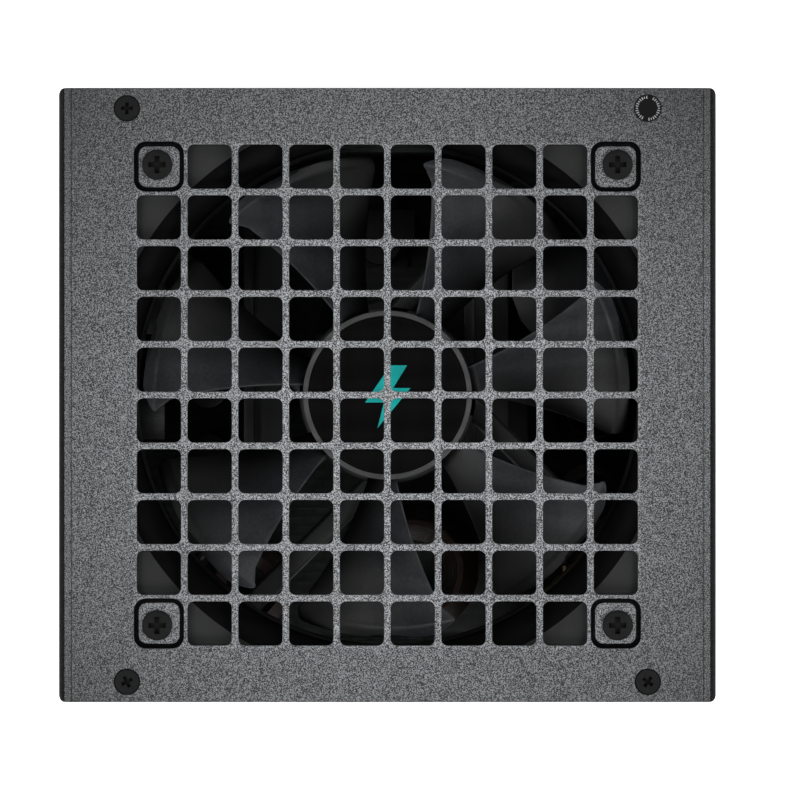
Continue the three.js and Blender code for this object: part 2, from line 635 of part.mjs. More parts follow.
function fanFrame() {
  const middleLow = FAN_FLANGE;
  const middleHigh = FAN_DEPTH - FAN_FLANGE;
  const outline = roundedRectangle(0, 0, FAN_SIZE, FAN_SIZE, FAN_CORNER);
  const square = prism(outline, 'z', 0, FAN_DEPTH);
  const waist = cut(
    block(FAN_SIZE + 2, FAN_SIZE + 2, middleLow, middleHigh),
    disc(FAN_BORE_RADIUS + FAN_WALL - SEAM, middleLow - 1, middleHigh + 1, ROUND_SIDES),
  );
  let frame = cut(square, waist, disc(FAN_BORE_RADIUS, -1, FAN_DEPTH + 1, ROUND_SIDES));
  for (const [sideX, sideY] of CORNERS) {
    const [x, y] = [sideX * FAN_SCREW_SPOT, sideY * FAN_SCREW_SPOT];
    frame = cut(frame, discAt(x, y, FAN_HOLE_RADIUS, -1, FAN_DEPTH + 1));
  }
  for (let index = 0; index < STRUT_COUNT; index += 1) {
    const start = Math.sqrt(MOTOR_BASE_RADIUS ** 2 - STRUT_SKEW ** 2) - STRUT_WIDTH / 2;
    const end = Math.sqrt(FAN_BORE_RADIUS ** 2 - (STRUT_SKEW - STRUT_WIDTH / 2) ** 2) + SEAM;
    const strut = new THREE.BoxGeometry(end - start, STRUT_WIDTH, STRUT_THICKNESS);
    strut.translate((start + end) / 2, STRUT_SKEW, STRUT_THICKNESS / 2);
    strut.rotateZ((index + 0.5) * 2 * Math.PI / STRUT_COUNT);
    frame = join(frame, solidOf(strut));
  }
  const motorBase = disc(MOTOR_BASE_RADIUS, 0, MOTOR_BASE_FLOOR, ROUND_SIDES);
  const rimInner = MOTOR_BASE_RADIUS - MOTOR_BASE_RIM;
  const rim = ring(rimInner, MOTOR_BASE_RADIUS, 0, STRUT_THICKNESS, ROUND_SIDES);
  const tube = disc(BEARING_TUBE_RADIUS, 0, BEARING_TUBE_HEIGHT, FEW_SIDES);
  const bearingSeat = disc(BEARING_RADIUS + CONTACT_GAP, BEARING_LOW, BEARING_TUBE_HEIGHT + 1, FEW_SIDES);
  return cut(join(frame, motorBase, rim, tube), bearingSeat);
}

function fanBearing() {
  const inset = 2 * CONTACT_GAP;
  const [low, high] = [BEARING_LOW + inset, BEARING_TUBE_HEIGHT - inset];
  return ring(SHAFT_RADIUS + RUNNING_CLEARANCE, BEARING_RADIUS, low, high, FEW_SIDES);
}

// Laminated core with wound poles, pushed over the bearing tube.
function fanStator() {
  const inner = BEARING_TUBE_RADIUS + CONTACT_GAP;
  let stator = ring(inner, YOKE_RADIUS, ...YOKE_HEIGHTS, FEW_SIDES);
  const shoes = ring(...SHOE_RADII, ...SHOE_HEIGHTS, SOME_SIDES);
  const gap = block(FAN_SIZE, POLE_GAP, 0, FAN_DEPTH);
  const crossGap = block(POLE_GAP, FAN_SIZE, 0, FAN_DEPTH);
  stator = join(stator, cut(shoes, gap, crossGap));
  for (let pole = 0; pole < POLE_COUNT; pole += 1) {
    const coil = new THREE.BoxGeometry(...COIL_SIZE).translate(COIL_RADIUS, 0, COIL_Z);
    stator = join(stator, solidOf(coil.rotateZ((pole + 0.5) * 2 * Math.PI / POLE_COUNT)));
  }
  return cut(stator, disc(inner, 0, FAN_DEPTH, FEW_SIDES));
}

function fanShaft() {
  const top = HUB_TOP - HUB_WALL - LABEL_RECESS - CONTACT_GAP;
  return turned([
    [0, SHAFT_FOOT],
    [SHAFT_RADIUS, SHAFT_FOOT + SHAFT_CHAMFER],
    [SHAFT_RADIUS, top],
    [0, top],
  ]);
}

function fanMagnetRing() {
  const outer = HUB_RADIUS - HUB_WALL - CONTACT_GAP;
  const low = HUB_LOW + MAGNET_INSET[0];
  const high = HUB_TOP - HUB_WALL - LABEL_RECESS - MAGNET_INSET[1];
  return ring(outer - MAGNET_THICKNESS, outer, low, high, ROUND_SIDES);
}

// Angles in degrees of a blade's leading and trailing edges at a radius, from the blade's tip corner.
function bladeEdges(radius) {
  const straight = Math.min(radius, BLADE_ROUND_FROM) - BLADE_ROOT_RADIUS;
  const along = straight / (BLADE_ROUND_FROM - BLADE_ROOT_RADIUS);
  const past = Math.max(0, radius - BLADE_ROUND_FROM) / (BLADE_TIP_RADIUS - BLADE_ROUND_FROM);
  const rounded = 1 - Math.sqrt(Math.max(0, 1 - past * past));
  const edges = [LEADING_EDGE, TRAILING_EDGE];
  return edges.map(({ root, sweep, rounding }) => root + sweep * along + rounding * rounded);
}

// One blade, lofted from sections at growing radii. Each section goes along the upper face
// from the leading edge to the trailing edge, and back along the lower face.
function fanBlade(tipAngle) {
  const chordSteps = BLADE_CHORD_STEPS;
  const fall = BLADE_HIGH - BLADE_LOW;
  const positions = [];
  for (const radius of BLADE_SECTION_RADII) {
    const [leading, trailing] = bladeEdges(radius);
    const span = THREE.MathUtils.degToRad(leading - trailing);
    const middle = [];
    for (let step = 0; step <= chordSteps; step += 1) {
      const share = step / chordSteps;
      const drop = fall * ((1 + BLADE_CAMBER) * share - BLADE_CAMBER * share * share);
      const slope = fall * (1 + BLADE_CAMBER - 2 * BLADE_CAMBER * share) / (span * radius);
      const length = Math.hypot(1, slope);
      const fullness = BLADE_EDGE_SHARE + (1 - BLADE_EDGE_SHARE) * Math.sin(Math.PI * share);
      const half = fullness * BLADE_THICKNESS / 2;
      const angle = THREE.MathUtils.degToRad(tipAngle + leading) - share * span;
      const turn = half * slope / length / radius;
      middle.push({ angle, height: BLADE_HIGH - drop, turn, lift: half / length });
    }
    const put = (angle, height) => {
      positions.push(radius * Math.cos(angle), radius * Math.sin(angle), height);
    };
    middle.forEach((spot) => put(spot.angle - spot.turn, spot.height + spot.lift));
    [...middle].reverse().forEach((spot) => put(spot.angle + spot.turn, spot.height - spot.lift));
  }
  const loop = 2 * (chordSteps + 1);
  const faces = [];
  const lastSection = BLADE_SECTION_RADII.length - 1;
  for (let section = 0; section < lastSection; section += 1) {
    for (let corner = 0; corner < loop; corner += 1) {
      const a = section * loop + corner;
      const b = section * loop + (corner + 1) % loop;
      faces.push(a, b, a + loop, b, b + loop, a + loop);
    }
  }
  const last = lastSection * loop;
  for (let corner = 0; corner < chordSteps; corner += 1) {
    const across = loop - 1 - corner;
    faces.push(corner, across, corner + 1, corner + 1, across, across - 1);
    faces.push(last + corner, last + corner + 1, last + across);
    faces.push(last + corner + 1, last + across - 1, last + across);
  }
  const geometry = new THREE.BufferGeometry();
  geometry.setAttribute('position', new THREE.Float32BufferAttribute(positions, 3));
  geometry.setIndex(faces);
  return solidOf(geometry);
}

function fanImpeller() {
  const ceiling = HUB_TOP - LABEL_RECESS - HUB_WALL;
  const cup = turned([
    [0, ceiling],
    [HUB_RADIUS - HUB_WALL, ceiling],
    [HUB_RADIUS - HUB_WALL, HUB_LOW],
    [HUB_RADIUS, HUB_LOW],
    [HUB_RADIUS, HUB_TOP - HUB_EDGE[1]],
    [HUB_RADIUS - HUB_EDGE[0], HUB_TOP],
    [LABEL_RADIUS + CONTACT_GAP, HUB_TOP],
    [LABEL_RADIUS + CONTACT_GAP, HUB_TOP - LABEL_RECESS],
    [0, HUB_TOP - LABEL_RECESS],
  ], ROUND_SIDES);
  const bossHigh = ceiling + HUB_WALL / 2;
  const boss = ring(SHAFT_RADIUS + CONTACT_GAP, BOSS_RADIUS, BOSS_LOW, bossHigh, FEW_SIDES);
  const blades = [];
  for (let index = 0; index < BLADE_COUNT; index += 1) {
    blades.push(fanBlade(FIRST_BLADE_ANGLE + index * 360 / BLADE_COUNT));
  }
  const core = disc(HUB_RADIUS - HUB_WALL / 2, HUB_LOW - 1, HUB_TOP - LABEL_RECESS / 2, ROUND_SIDES);
  const trimmedBlades = blades.map((blade) => cut(blade, core));
  return join(cup, boss, ...trimmedBlades);
}

function hubLabel() {
  const low = HUB_TOP - LABEL_RECESS + CONTACT_GAP / 2;
  return disc(LABEL_RADIUS, low, low + LABEL_THICKNESS, ROUND_SIDES);
}

// ---------------------------------------------------------------- mains inlet and rocker switch
// Drawn looking at the panel: x to the right, y up, z out of the panel, 0 on the bezel's face.

function inletBody() {
  const [flangeWidth, flangeHeight] = INLET_FLANGE;
  const [cavityWidth, cavityHeight] = INLET_CAVITY;
  const outline = roundedRectangle(0, 0, flangeWidth, flangeHeight, FLANGE_CORNER);
  const flange = prism(outline, 'z', CONTACT_GAP - BEZEL, 0);
  const [half, high] = [cavityWidth / 2, cavityHeight / 2];
  const cavity = polygon([
    [-half, -high],
    [half, -high],
    [half, high - INLET_CHAMFER],
    [half - INLET_CHAMFER, high],
    [INLET_CHAMFER - half, high],
    [-half, high - INLET_CHAMFER],
  ]);
  const body = join(flange, block(...INLET_BODY, -INLET_BODY_DEPTH, -BEZEL / 2));
  const slots = pinSpots().map(([x, y]) => {
    const gap = 2 * CONTACT_GAP;
    const slot = rectangle(x, y, PIN_SIZE[0] + gap, PIN_SIZE[1] + gap);
    return prism(slot, 'z', -INLET_BODY_DEPTH - 1, -INLET_CAVITY_DEPTH + 1);
  });
  return cut(body, prism(cavity, 'z', -INLET_CAVITY_DEPTH, 1), ...slots);
}

// Line, neutral and earth.
const pinSpots = () => [[PIN_SPREAD, -PIN_OFFSET], [-PIN_SPREAD, -PIN_OFFSET], [0, PIN_OFFSET]];

function inletPin() {
  const tip = -PIN_TIP_DEPTH;
  const bar = block(...PIN_SIZE, -INLET_BODY_DEPTH - PIN_TAIL_THICKNESS, tip - 1);
  const point = stumpRectangle(PIN_SIZE, [PIN_SIZE[0] / 2, PIN_SIZE[1] - 1], tip - 1, tip);
  const tailEnd = -INLET_BODY_DEPTH - PIN_TAIL;
  const tail = block(PIN_TAIL_THICKNESS, PIN_SIZE[1], tailEnd, -INLET_BODY_DEPTH);
  return join(bar, point, tail);
}

function stumpRectangle(lowSize, highSize, low, high) {
  const geometry = new THREE.BoxGeometry(1, 1, high - low).translate(0, 0, (low + high) / 2);
  const points = geometry.attributes.position;
  for (let index = 0; index < points.count; index += 1) {
    const size = points.getZ(index) > (low + high) / 2 ? highSize : lowSize;
    points.setX(index, points.getX(index) * size[0]);
    points.setY(index, points.getY(index) * size[1]);
  }
  return solidOf(geometry);
}

const rockerTilt = THREE.MathUtils.degToRad(ROCKER_HALF_TRAVEL);
const rockerMiddle = (ROCKER_PIVOT_DEPTH - CONTACT_GAP) / Math.cos(rockerTilt);
const rockerEnd = rockerMiddle + ROCKER_HALF_LENGTH * Math.tan(rockerTilt);
const rockerReach = Math.hypot(ROCKER_HALF_LENGTH, rockerEnd);

// Half height of the swept space around the rocker at a depth under the bezel's face.
function sweptHalf(depth) {
  const fromPivot = ROCKER_PIVOT_DEPTH - depth;
  return Math.sqrt(rockerReach ** 2 - fromPivot ** 2) + ROCKER_CLEARANCE;
}

function switchHousing() {
  const [flangeWidth, flangeHeight] = SWITCH_FLANGE;
  const openWidth = ROCKER_WIDTH + 2 * ROCKER_CLEARANCE;
  const outline = roundedRectangle(0, 0, flangeWidth, flangeHeight, FLANGE_CORNER);
  const flange = prism(outline, 'z', CONTACT_GAP - BEZEL, 0);
  const body = block(...SWITCH_BODY, -SWITCH_BODY_DEPTH, -BEZEL / 2);
  const deepHalf = rockerReach + ROCKER_CLEARANCE;
  const chamber = block(openWidth, 2 * deepHalf, -SWITCH_CHAMBER_DEPTH, -BEZEL);
  const [deepMouth, mouthFace] = [BEZEL, 0].map((depth) => [openWidth, 2 * sweptHalf(depth)]);
  const mouth = stumpRectangle(deepMouth, mouthFace, -BEZEL, 0);
  const hole = new THREE.CylinderGeometry(1, 1, openWidth + 2 * TRUNNION_REACH, FEW_SIDES);
  hole.scale(TRUNNION_RADIUS + CONTACT_GAP, 1, TRUNNION_RADIUS + CONTACT_GAP);
  hole.rotateZ(Math.PI / 2).translate(0, 0, -ROCKER_PIVOT_DEPTH);
  return cut(join(flange, body), chamber, mouth, solidOf(hole));
}

// The rocker about its pivot: a shallow V on top, ends that are arcs about the pivot.
function rocker() {
  const endAngle = Math.atan2(rockerEnd, ROCKER_HALF_LENGTH);
  const outline = new THREE.Shape();
  outline.moveTo(0, rockerMiddle);
  outline.lineTo(-ROCKER_HALF_LENGTH, rockerEnd);
  outline.absarc(0, 0, rockerReach, Math.PI - endAngle, Math.PI - ROCKER_SKIRT_ANGLE);
  outline.lineTo(-ROCKER_FOOT_HALF_LENGTH, -ROCKER_FOOT_DEPTH);
  outline.lineTo(ROCKER_FOOT_HALF_LENGTH, -ROCKER_FOOT_DEPTH);
  outline.absarc(0, 0, rockerReach, ROCKER_SKIRT_ANGLE, endAngle);
  const body = prism(outline, 'x', -ROCKER_WIDTH / 2, ROCKER_WIDTH / 2, 2);
  const pinReach = ROCKER_WIDTH / 2 + ROCKER_CLEARANCE + TRUNNION_REACH / 2;
  const pin = new THREE.CylinderGeometry(TRUNNION_RADIUS, TRUNNION_RADIUS, 2 * pinReach, FEW_SIDES);
  return join(body, solidOf(pin.rotateZ(Math.PI / 2)));
}

// ---------------------------------------------------------------- output sockets
// Drawn like the mains parts, z out of the socket panel and 0 on the socket's face.

function outputSocket(columns) {
  const [width, height] = socketSize(columns);
  const shell = block(width, height, -SOCKET_DEPTH, 0);
  const latch = box(
    [-LATCH_WIDTH / 2, -height / 2 - LATCH_HEIGHT, -SOCKET_DEPTH * LATCH_SHARE],
    [LATCH_WIDTH / 2, -height / 2 + SOCKET_WALL / 2, 0],
  );
  const cells = [];
  for (let column = 0; column < columns; column += 1) {
    for (const row of [-0.5, 0.5]) {
      const x = (column - (columns - 1) / 2) * CELL_PITCH;
      cells.push(rectangle(x, row * CELL_PITCH, CELL_SIZE, CELL_SIZE));
    }
  }
  return cut(join(shell, latch), prism(cells, 'z', -CELL_DEPTH, 1));
}

// ---------------------------------------------------------------- circuit board

function mainBoard() {
  const board = box([-BOARD_HALF_WIDTH, BOARD_REAR, 0], [BOARD_HALF_WIDTH, BOARD_FRONT, BOARD_THICKNESS]);
  const radius = BOARD_SCREW_RADIUS + BOARD_HOLE_GAP;
  const holes = BOARD_SCREW_SPOTS.map(([x, y]) => discAt(x, y, radius, -1, BOARD_THICKNESS + 1));
  return cut(board, ...holes);
}

function insulatingSheet() {
  const film = box(
    [-BOARD_HALF_WIDTH - FILM_MARGIN, BOARD_REAR - FILM_MARGIN, 0],
    [BOARD_HALF_WIDTH + FILM_MARGIN, BOARD_FRONT + FILM_MARGIN, FILM_THICKNESS],
  );
  const radius = STANDOFF_RADIUS + BOARD_HOLE_GAP;
  const holes = BOARD_SCREW_SPOTS.map(([x, y]) => discAt(x, y, radius, -1, FILM_THICKNESS + 1));
  return cut(film, ...holes);
}

function boardScrew() {
  const radius = BOARD_SCREW_RADIUS - CONTACT_GAP;
  const [headRadius, crownRadius] = BOARD_SCREW_HEAD_RADII;
  const top = BOARD_SCREW_HEAD_HEIGHT;
  const body = turned([
    [0, -BOARD_SCREW_LENGTH],
    [radius, -BOARD_SCREW_LENGTH],
    [radius, 0],
    [headRadius, 0],
    [crownRadius, top],
    [0, top],
  ]);
  return cut(body, block(2 * crownRadius - 1, BOARD_SCREW_SLOT, top - BOARD_SCREW_SLOT, top + 1));
}

// A plate that stands on the board, with fins along one side.
function heatsink({ length, height }) {
  const plate = HEATSINK_PLATE;
  const finEnd = plate + FIN_REACH;
  const finFrom = height * PLAIN_SHARE;
  const outline = [[0, 0], [plate, 0]];
  for (let z = finFrom; z + FIN_THICKNESS <= height; z += FIN_PITCH) {
    outline.push([plate, z], [finEnd, z], [finEnd, z + FIN_THICKNESS], [plate, z + FIN_THICKNESS]);
  }
  outline.push([plate, height], [0, height]);
  return prism(polygon(outline), 'y', -length / 2, length / 2);
}

// Electrolytic capacitor: a can with a crimped groove near its foot.
function capacitor({ radius, height }) {
  return turned([
    [0, 0],
    [radius, 0],
    [radius, CAN_GROOVE.low * height],
    [radius - CAN_GROOVE.depth, CAN_GROOVE.middle * height],
    [radius, CAN_GROOVE.high * height],
    [radius, height],
    [0, height],
  ], SOME_SIDES);
}

// A wound ring core that lies flat.
function ringChoke({ inner, outer, height }) {
  const round = height * CHOKE_ROUNDING;
  return turned([
    [inner, height / 2],
    [inner + round, 0],
    [outer - round, 0],
    [outer, height / 2],
    [outer - round, height],
    [inner + round, height],
    [inner, height / 2],
  ], SOME_SIDES);
}

// A ferrite core around a round coil former.
function transformer({ width, depth, height }) {
  const shares = TRANSFORMER_SHARES;
  const leg = width * shares.leg;
  const outer = block(width, depth * shares.core, 0, height);
  const window = block(width - 2 * leg, depth, leg, height - leg);
  const winding = new THREE.CylinderGeometry(1, 1, height - 2 * leg, SOME_SIDES).rotateX(Math.PI / 2);
  winding.scale(width * shares.windingX, depth * shares.windingY, 1).translate(0, 0, height / 2);
  const foot = block(width * shares.foot, depth, 0, TRANSFORMER_FOOT);
  return join(cut(outer, window), solidOf(winding), foot);
}

// Upright board with power coils on one side.
function converterBoard({ length, height }) {
  const { size, reach, low, shares } = CONVERTER_COIL;
  const board = block(BOARD_THICKNESS, length, 0, height);
  const coils = shares.map((share) => {
    const y = share * length;
    return box([0, y - size / 2, low * height], [reach, y + size / 2, low * height + size]);
  });
  return join(board, ...coils);
}

const cuboid = ({ width, depth, height }) => block(width, depth, 0, height);

// ---------------------------------------------------------------- assembly

const psu = new THREE.Group();

function addCase() {
  piece(psu, 'top_cover', topCover(), 'coatedSteel');
  piece(psu, 'base_chassis', baseChassis(), 'coatedSteel');
  CORNERS.forEach(([sideX, sideY], index) => {
    const spot = [sideX * COVER_SCREW_X, sideY * COVER_SCREW_Y, HEIGHT];
    piece(psu, `cover_screw_${index + 1}`, coverScrew(), 'blackSteel', spot);
  });
  const seal = disc(SEAL_RADIUS, 0, SEAL_THICKNESS, SOME_SIDES);
  piece(psu, 'warranty_seal', seal, 'blackLabel', [COVER_SCREW_X, COVER_SCREW_Y, HEIGHT + SEAL_GAP]);
}

function addFan() {
  const fanTop = HEIGHT - POCKET_DEPTH - SHEET - CONTACT_GAP;
  const fan = subassembly(psu, [0, 0, fanTop - FAN_DEPTH]);
  piece(fan, 'fan_frame', fanFrame(), 'blackPlastic');
  piece(fan, 'fan_bearing', fanBearing(), 'brass');
  piece(fan, 'fan_stator', fanStator(), 'copper');
  const rotor = subassembly(fan);
  piece(rotor, 'fan_impeller', fanImpeller(), 'smokedPlastic');
  piece(rotor, 'fan_magnet_ring', fanMagnetRing(), 'ferrite');
  piece(rotor, 'fan_shaft', fanShaft(), 'steel');
  piece(rotor, 'hub_label', hubLabel(), 'blackLabel');
  CORNERS.forEach(([sideX, sideY], index) => {
    const bearingFace = HEIGHT - POCKET_DEPTH + CONTACT_GAP / 2;
    const spot = [sideX * FAN_SCREW_SPOT, sideY * FAN_SCREW_SPOT, bearingFace];
    piece(psu, `fan_screw_${index + 1}`, fanScrew(), 'blackSteel', spot);
  });
}

function addMainsParts() {
  const faceY = -DEPTH / 2 + RECESS_DEPTH - BEZEL;
  const inlet = subassembly(psu, [RECESS_X, faceY, INLET_Z], [Math.PI / 2, 0, 0]);
  piece(inlet, 'mains_inlet_body', inletBody(), 'blackPlastic');
  ['line', 'neutral', 'earth'].forEach((name, index) => {
    piece(inlet, `mains_inlet_pin_${name}`, inletPin(), 'brass', [...pinSpots()[index], 0]);
  });
  const mainsSwitch = subassembly(psu, [RECESS_X, faceY, SWITCH_Z], [Math.PI / 2, 0, 0]);
  piece(mainsSwitch, 'switch_housing', switchHousing(), 'blackPlastic');
  const pivot = [0, 0, -ROCKER_PIVOT_DEPTH];
  piece(mainsSwitch, 'switch_rocker', rocker(), 'blackPlastic', pivot, [rockerTilt, 0, 0]);
}

function addSockets() {
  for (const { name, columns, x, z } of SOCKETS) {
    const place = subassembly(psu, [x, DEPTH / 2 - SOCKET_SETBACK, z], [-Math.PI / 2, 0, 0]);
    piece(place, name, outputSocket(columns), 'blackPlastic');
  }
  const backOfSockets = DEPTH / 2 - SOCKET_SETBACK - SOCKET_DEPTH - CONTACT_GAP;
  const half = SOCKET_BOARD_HALF_WIDTH;
  const [low, high] = SOCKET_BOARD_HEIGHTS;
  const board = box([-half, backOfSockets - BOARD_THICKNESS, low], [half, backOfSockets, high]);
  piece(psu, 'socket_board', board, 'circuitBoard');
}

function addElectronics() {
  piece(psu, 'insulating_sheet', insulatingSheet(), 'film', [0, 0, SHEET + SEAM]);
  const electronics = subassembly(psu, [0, 0, BOARD_Z]);
  piece(electronics, 'main_circuit_board', mainBoard(), 'circuitBoard');
  const top = BOARD_THICKNESS + CONTACT_GAP;
  BOARD_SCREW_SPOTS.forEach(([x, y], index) => {
    piece(electronics, `board_screw_${index + 1}`, boardScrew(), 'steel', [x, y, top]);
  });
  const stand = (name, solid, finish, [x, y]) => piece(electronics, name, solid, finish, [x, y, top]);
  COMMON_MODE_CHOKE.spots.forEach((spot, index) => {
    stand(`common_mode_choke_${index + 1}`, ringChoke(COMMON_MODE_CHOKE), 'copper', spot);
  });
  stand('filter_capacitor', cuboid(FILTER_CAPACITOR), 'yellowPlastic', FILTER_CAPACITOR.spot);
  stand('bridge_rectifier', cuboid(BRIDGE_RECTIFIER), 'blackPlastic', BRIDGE_RECTIFIER.spot);
  stand('bulk_capacitor', capacitor(BULK_CAPACITOR), 'capacitorSleeve', BULK_CAPACITOR.spot);
  stand('power_factor_choke', ringChoke(POWER_FACTOR_CHOKE), 'copper', POWER_FACTOR_CHOKE.spot);
  stand('primary_heatsink', heatsink(PRIMARY_HEATSINK), 'aluminium', PRIMARY_HEATSINK.spot);
  stand('main_transformer', transformer(MAIN_TRANSFORMER), 'ferrite', MAIN_TRANSFORMER.spot);
  stand('standby_transformer', transformer(STANDBY_TRANSFORMER), 'ferrite', STANDBY_TRANSFORMER.spot);
  stand('secondary_heatsink', heatsink(SECONDARY_HEATSINK), 'aluminium', SECONDARY_HEATSINK.spot);
  OUTPUT_CAPACITOR.spots.forEach((spot, index) => {
    stand(`output_capacitor_${index + 1}`, capacitor(OUTPUT_CAPACITOR), 'capacitorSleeve', spot);
  });
  const converter = converterBoard(CONVERTER_BOARD);
  stand('output_converter_board', converter, 'circuitBoard', CONVERTER_BOARD.spot);
  stand('output_choke', ringChoke(OUTPUT_CHOKE), 'copper', OUTPUT_CHOKE.spot);
}

// A path of offsets, moved to start from a point.
function path(offsets, [x, y, z]) {
  return offsets.map(([alongX, alongY, alongZ]) => [x + alongX, y + alongY, z + alongZ]);
}

function addWires() {
  const pinY = -DEPTH / 2 + RECESS_DEPTH - BEZEL + INLET_BODY_DEPTH + PIN_TAIL + SEAM;
  const switchY = -DEPTH / 2 + RECESS_DEPTH - BEZEL + SWITCH_BODY_DEPTH + SEAM;
  const lowPinZ = INLET_Z - PIN_OFFSET;
  const boardTop = BOARD_Z + BOARD_THICKNESS + SEAM;
  const [lineX, neutralX] = [RECESS_X + PIN_SPREAD, RECESS_X - PIN_SPREAD];
  piece(psu, 'line_wire', wire([
    ...path(LINE_WIRE_START, [lineX, pinY, lowPinZ]),
    ...path(LINE_WIRE_END, [RECESS_X, switchY, SWITCH_Z]),
  ]), 'wireSleeve');
  piece(psu, 'neutral_wire', wire([
    ...path(NEUTRAL_WIRE_START, [neutralX, pinY, lowPinZ]),
    ...path(NEUTRAL_WIRE_END, [neutralX, pinY, boardTop]),
  ]), 'wireSleeve');
  piece(psu, 'earth_wire', wire([
    ...path(EARTH_WIRE_START, [RECESS_X, pinY, INLET_Z + PIN_OFFSET]),
    ...path(EARTH_WIRE_END, [RECESS_X, pinY, boardTop]),
  ]), 'wireSleeve');
  const fanUnderside = HEIGHT - POCKET_DEPTH - SHEET - CONTACT_GAP - FAN_DEPTH;
  const leadZ = fanUnderside - 2 * WIRE_RADIUS;
  piece(psu, 'fan_lead', wire([
    ...path(FAN_LEAD_TOP, [0, 0, leadZ]),
    ...FAN_LEAD_DROP,
    [...FAN_LEAD_FOOT, boardTop + 4],
    [...FAN_LEAD_FOOT, boardTop],
  ]), 'wireSleeve');
}

addCase();
addFan();
addMainsParts();
addSockets();
addElectronics();
addWires();

export default psu;
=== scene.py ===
import json
import math

import bmesh
import bpy
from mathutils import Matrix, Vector
from mathutils.geometry import tessellate_polygon


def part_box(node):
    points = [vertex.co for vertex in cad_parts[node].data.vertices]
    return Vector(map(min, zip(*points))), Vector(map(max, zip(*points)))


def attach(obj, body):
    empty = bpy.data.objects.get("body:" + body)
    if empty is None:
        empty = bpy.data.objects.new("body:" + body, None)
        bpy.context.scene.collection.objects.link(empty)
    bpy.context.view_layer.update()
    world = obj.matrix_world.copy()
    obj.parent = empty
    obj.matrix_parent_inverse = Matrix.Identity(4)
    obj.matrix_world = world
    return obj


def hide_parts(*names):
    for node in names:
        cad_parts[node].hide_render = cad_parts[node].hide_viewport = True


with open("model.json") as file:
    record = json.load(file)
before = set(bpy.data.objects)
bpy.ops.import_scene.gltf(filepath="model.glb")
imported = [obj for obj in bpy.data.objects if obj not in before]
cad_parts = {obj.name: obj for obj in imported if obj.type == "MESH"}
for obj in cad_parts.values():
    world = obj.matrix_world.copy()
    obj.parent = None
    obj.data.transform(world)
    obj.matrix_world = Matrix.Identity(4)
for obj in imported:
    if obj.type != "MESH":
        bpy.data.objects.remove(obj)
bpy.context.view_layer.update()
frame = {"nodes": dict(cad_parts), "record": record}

MM = 0.001
COLLECTION = bpy.context.scene.collection


def box_mm(node):
    """Lowest and highest corner of a CAD node, in millimetres."""
    low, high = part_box(node)
    return low / MM, high / MM


# ---------------------------------------------------------------- dimensions in millimetres
COVER_LOW, COVER_HIGH = box_mm("top_cover")
FACE_Z = COVER_HIGH.z
SHEET = 1.0
FOLD_RADIUS = 3.0
FOLD_CORNER = 1.5
FOLD_STEPS = 14
# Fold steps that keep the face coat; the rest of the fold takes the painted-shade side coat.
LIT_FOLD_STEPS = 5
SHEET_EDGE = 0.22
HOLE_PITCH = 11.57
HOLE_COUNT = 10
HOLE_SIZE = 10.06
HOLE_CORNER = 1.45
POCKET_OPENING = 11.4
POCKET_FLOOR = 9.3
POCKET_DEPTH = 1.6
POCKET_CORNER = 2.7
POCKET_ARC_STEPS = 7
PAD_INSET = 0.25
PAD_CORNER = 1.7
PAD_RISE = 0.3
HEM = 0.12
HEM_LIFT = 0.08
FOOT_HEIGHT = 0.4
HEAD_CLEARANCE = 0.14
CORNERS = ((-1, 1), (-1, -1), (1, -1), (1, 1))

SCREW_SIDES = 48
SCREW_CORE = 0.45
CROSS_DEPTH = 1.0
CROSS_SHARE = 0.27
FAN_SCREW = {"reach": 2.15, "crown": 0.25, "thickness": 1.5, "turn": 0}
COVER_SCREW = {"reach": 1.45, "crown": 0.08, "thickness": 1.0, "turn": 27}

SEAL_TICKS = 30
SEAL_TICK_RADIUS = 2.52
SEAL_TICK_HALF = 0.13
SEAL_TALL_TICK = 0.34
SEAL_SHORT_TICK = 0.22
SEAL_INK_DEPTH = 0.03

HUB_RADIUS = 19.4
HUB_WALL = 1.5
LABEL_RECESS = 0.4
LABEL_RADIUS = 18.1
BLADE_COUNT = 7
FIRST_BLADE_ANGLE = 79.0
BLADE_ROOT = 18.8
BLADE_TIP = 56.0
BLADE_HIGH = 79.7
BLADE_LOW = 64.3
BLADE_THICKNESS = 1.5
BLADE_CHORD_STEPS = 16
BLADE_INNER_STEPS = 12
BLADE_TIP_STEPS = 9
BLADE_CAMBER = 0.25
TIP_ROUND_FROM = 52.5
TIP_LOBE = 2.4
TIP_LOBE_RADIUS = 53.6
TIP_LOBE_WIDTH = 1.45
HUB_SIDES = 120

FAN_LOW, FAN_HIGH = box_mm("fan_frame")
FAN_BORE = 58.0
FAN_MOUTH = 65.0
FAN_MOUTH_DEPTH = 3.4
FAN_TUBE = 59.7
FAN_FLANGE = 4.0
FAN_CORNER = 5.0
FAN_SIDES = 288
FAN_EDGE = 0.3
MOUTH_STEPS = 8
MOTOR_RADIUS = 20.5
MOTOR_WALL = 1.4
MOTOR_HEIGHT = 3.0
MOTOR_FLOOR = 1.6
STRUT_WIDTH = 5.0
STRUT_THICKNESS = 3.0
STRUT_SKEW = 12.0
STRUT_REACH = FAN_BORE - 0.7
STRUT_SECTION = (
    (-0.5, 0.1), (-0.35, 0.0), (0.35, 0.0), (0.5, 0.1),
    (0.5, 0.8), (0.3, 1.0), (-0.3, 1.0), (-0.5, 0.8),
)

CELL_PITCH = 4.2
CELL_SIZE = 3.5
CELL_DEPTH = 9.0
LATCH_HEIGHT = 1.2
LATCH_HALF = 2.5
LATCH_LENGTH = 6.8
PIN_HALF = 0.52
PIN_LENGTH = 6.2
PIN_POINT = 0.7

GRAIN_SIZE = 0.21
PIT_SIZE = 0.55
DRIFT_MIDDLE = 1.22
DRIFT_FALL = 80.0
DRIFT_TILT = 1.0
RIB_LIFT = 1.42

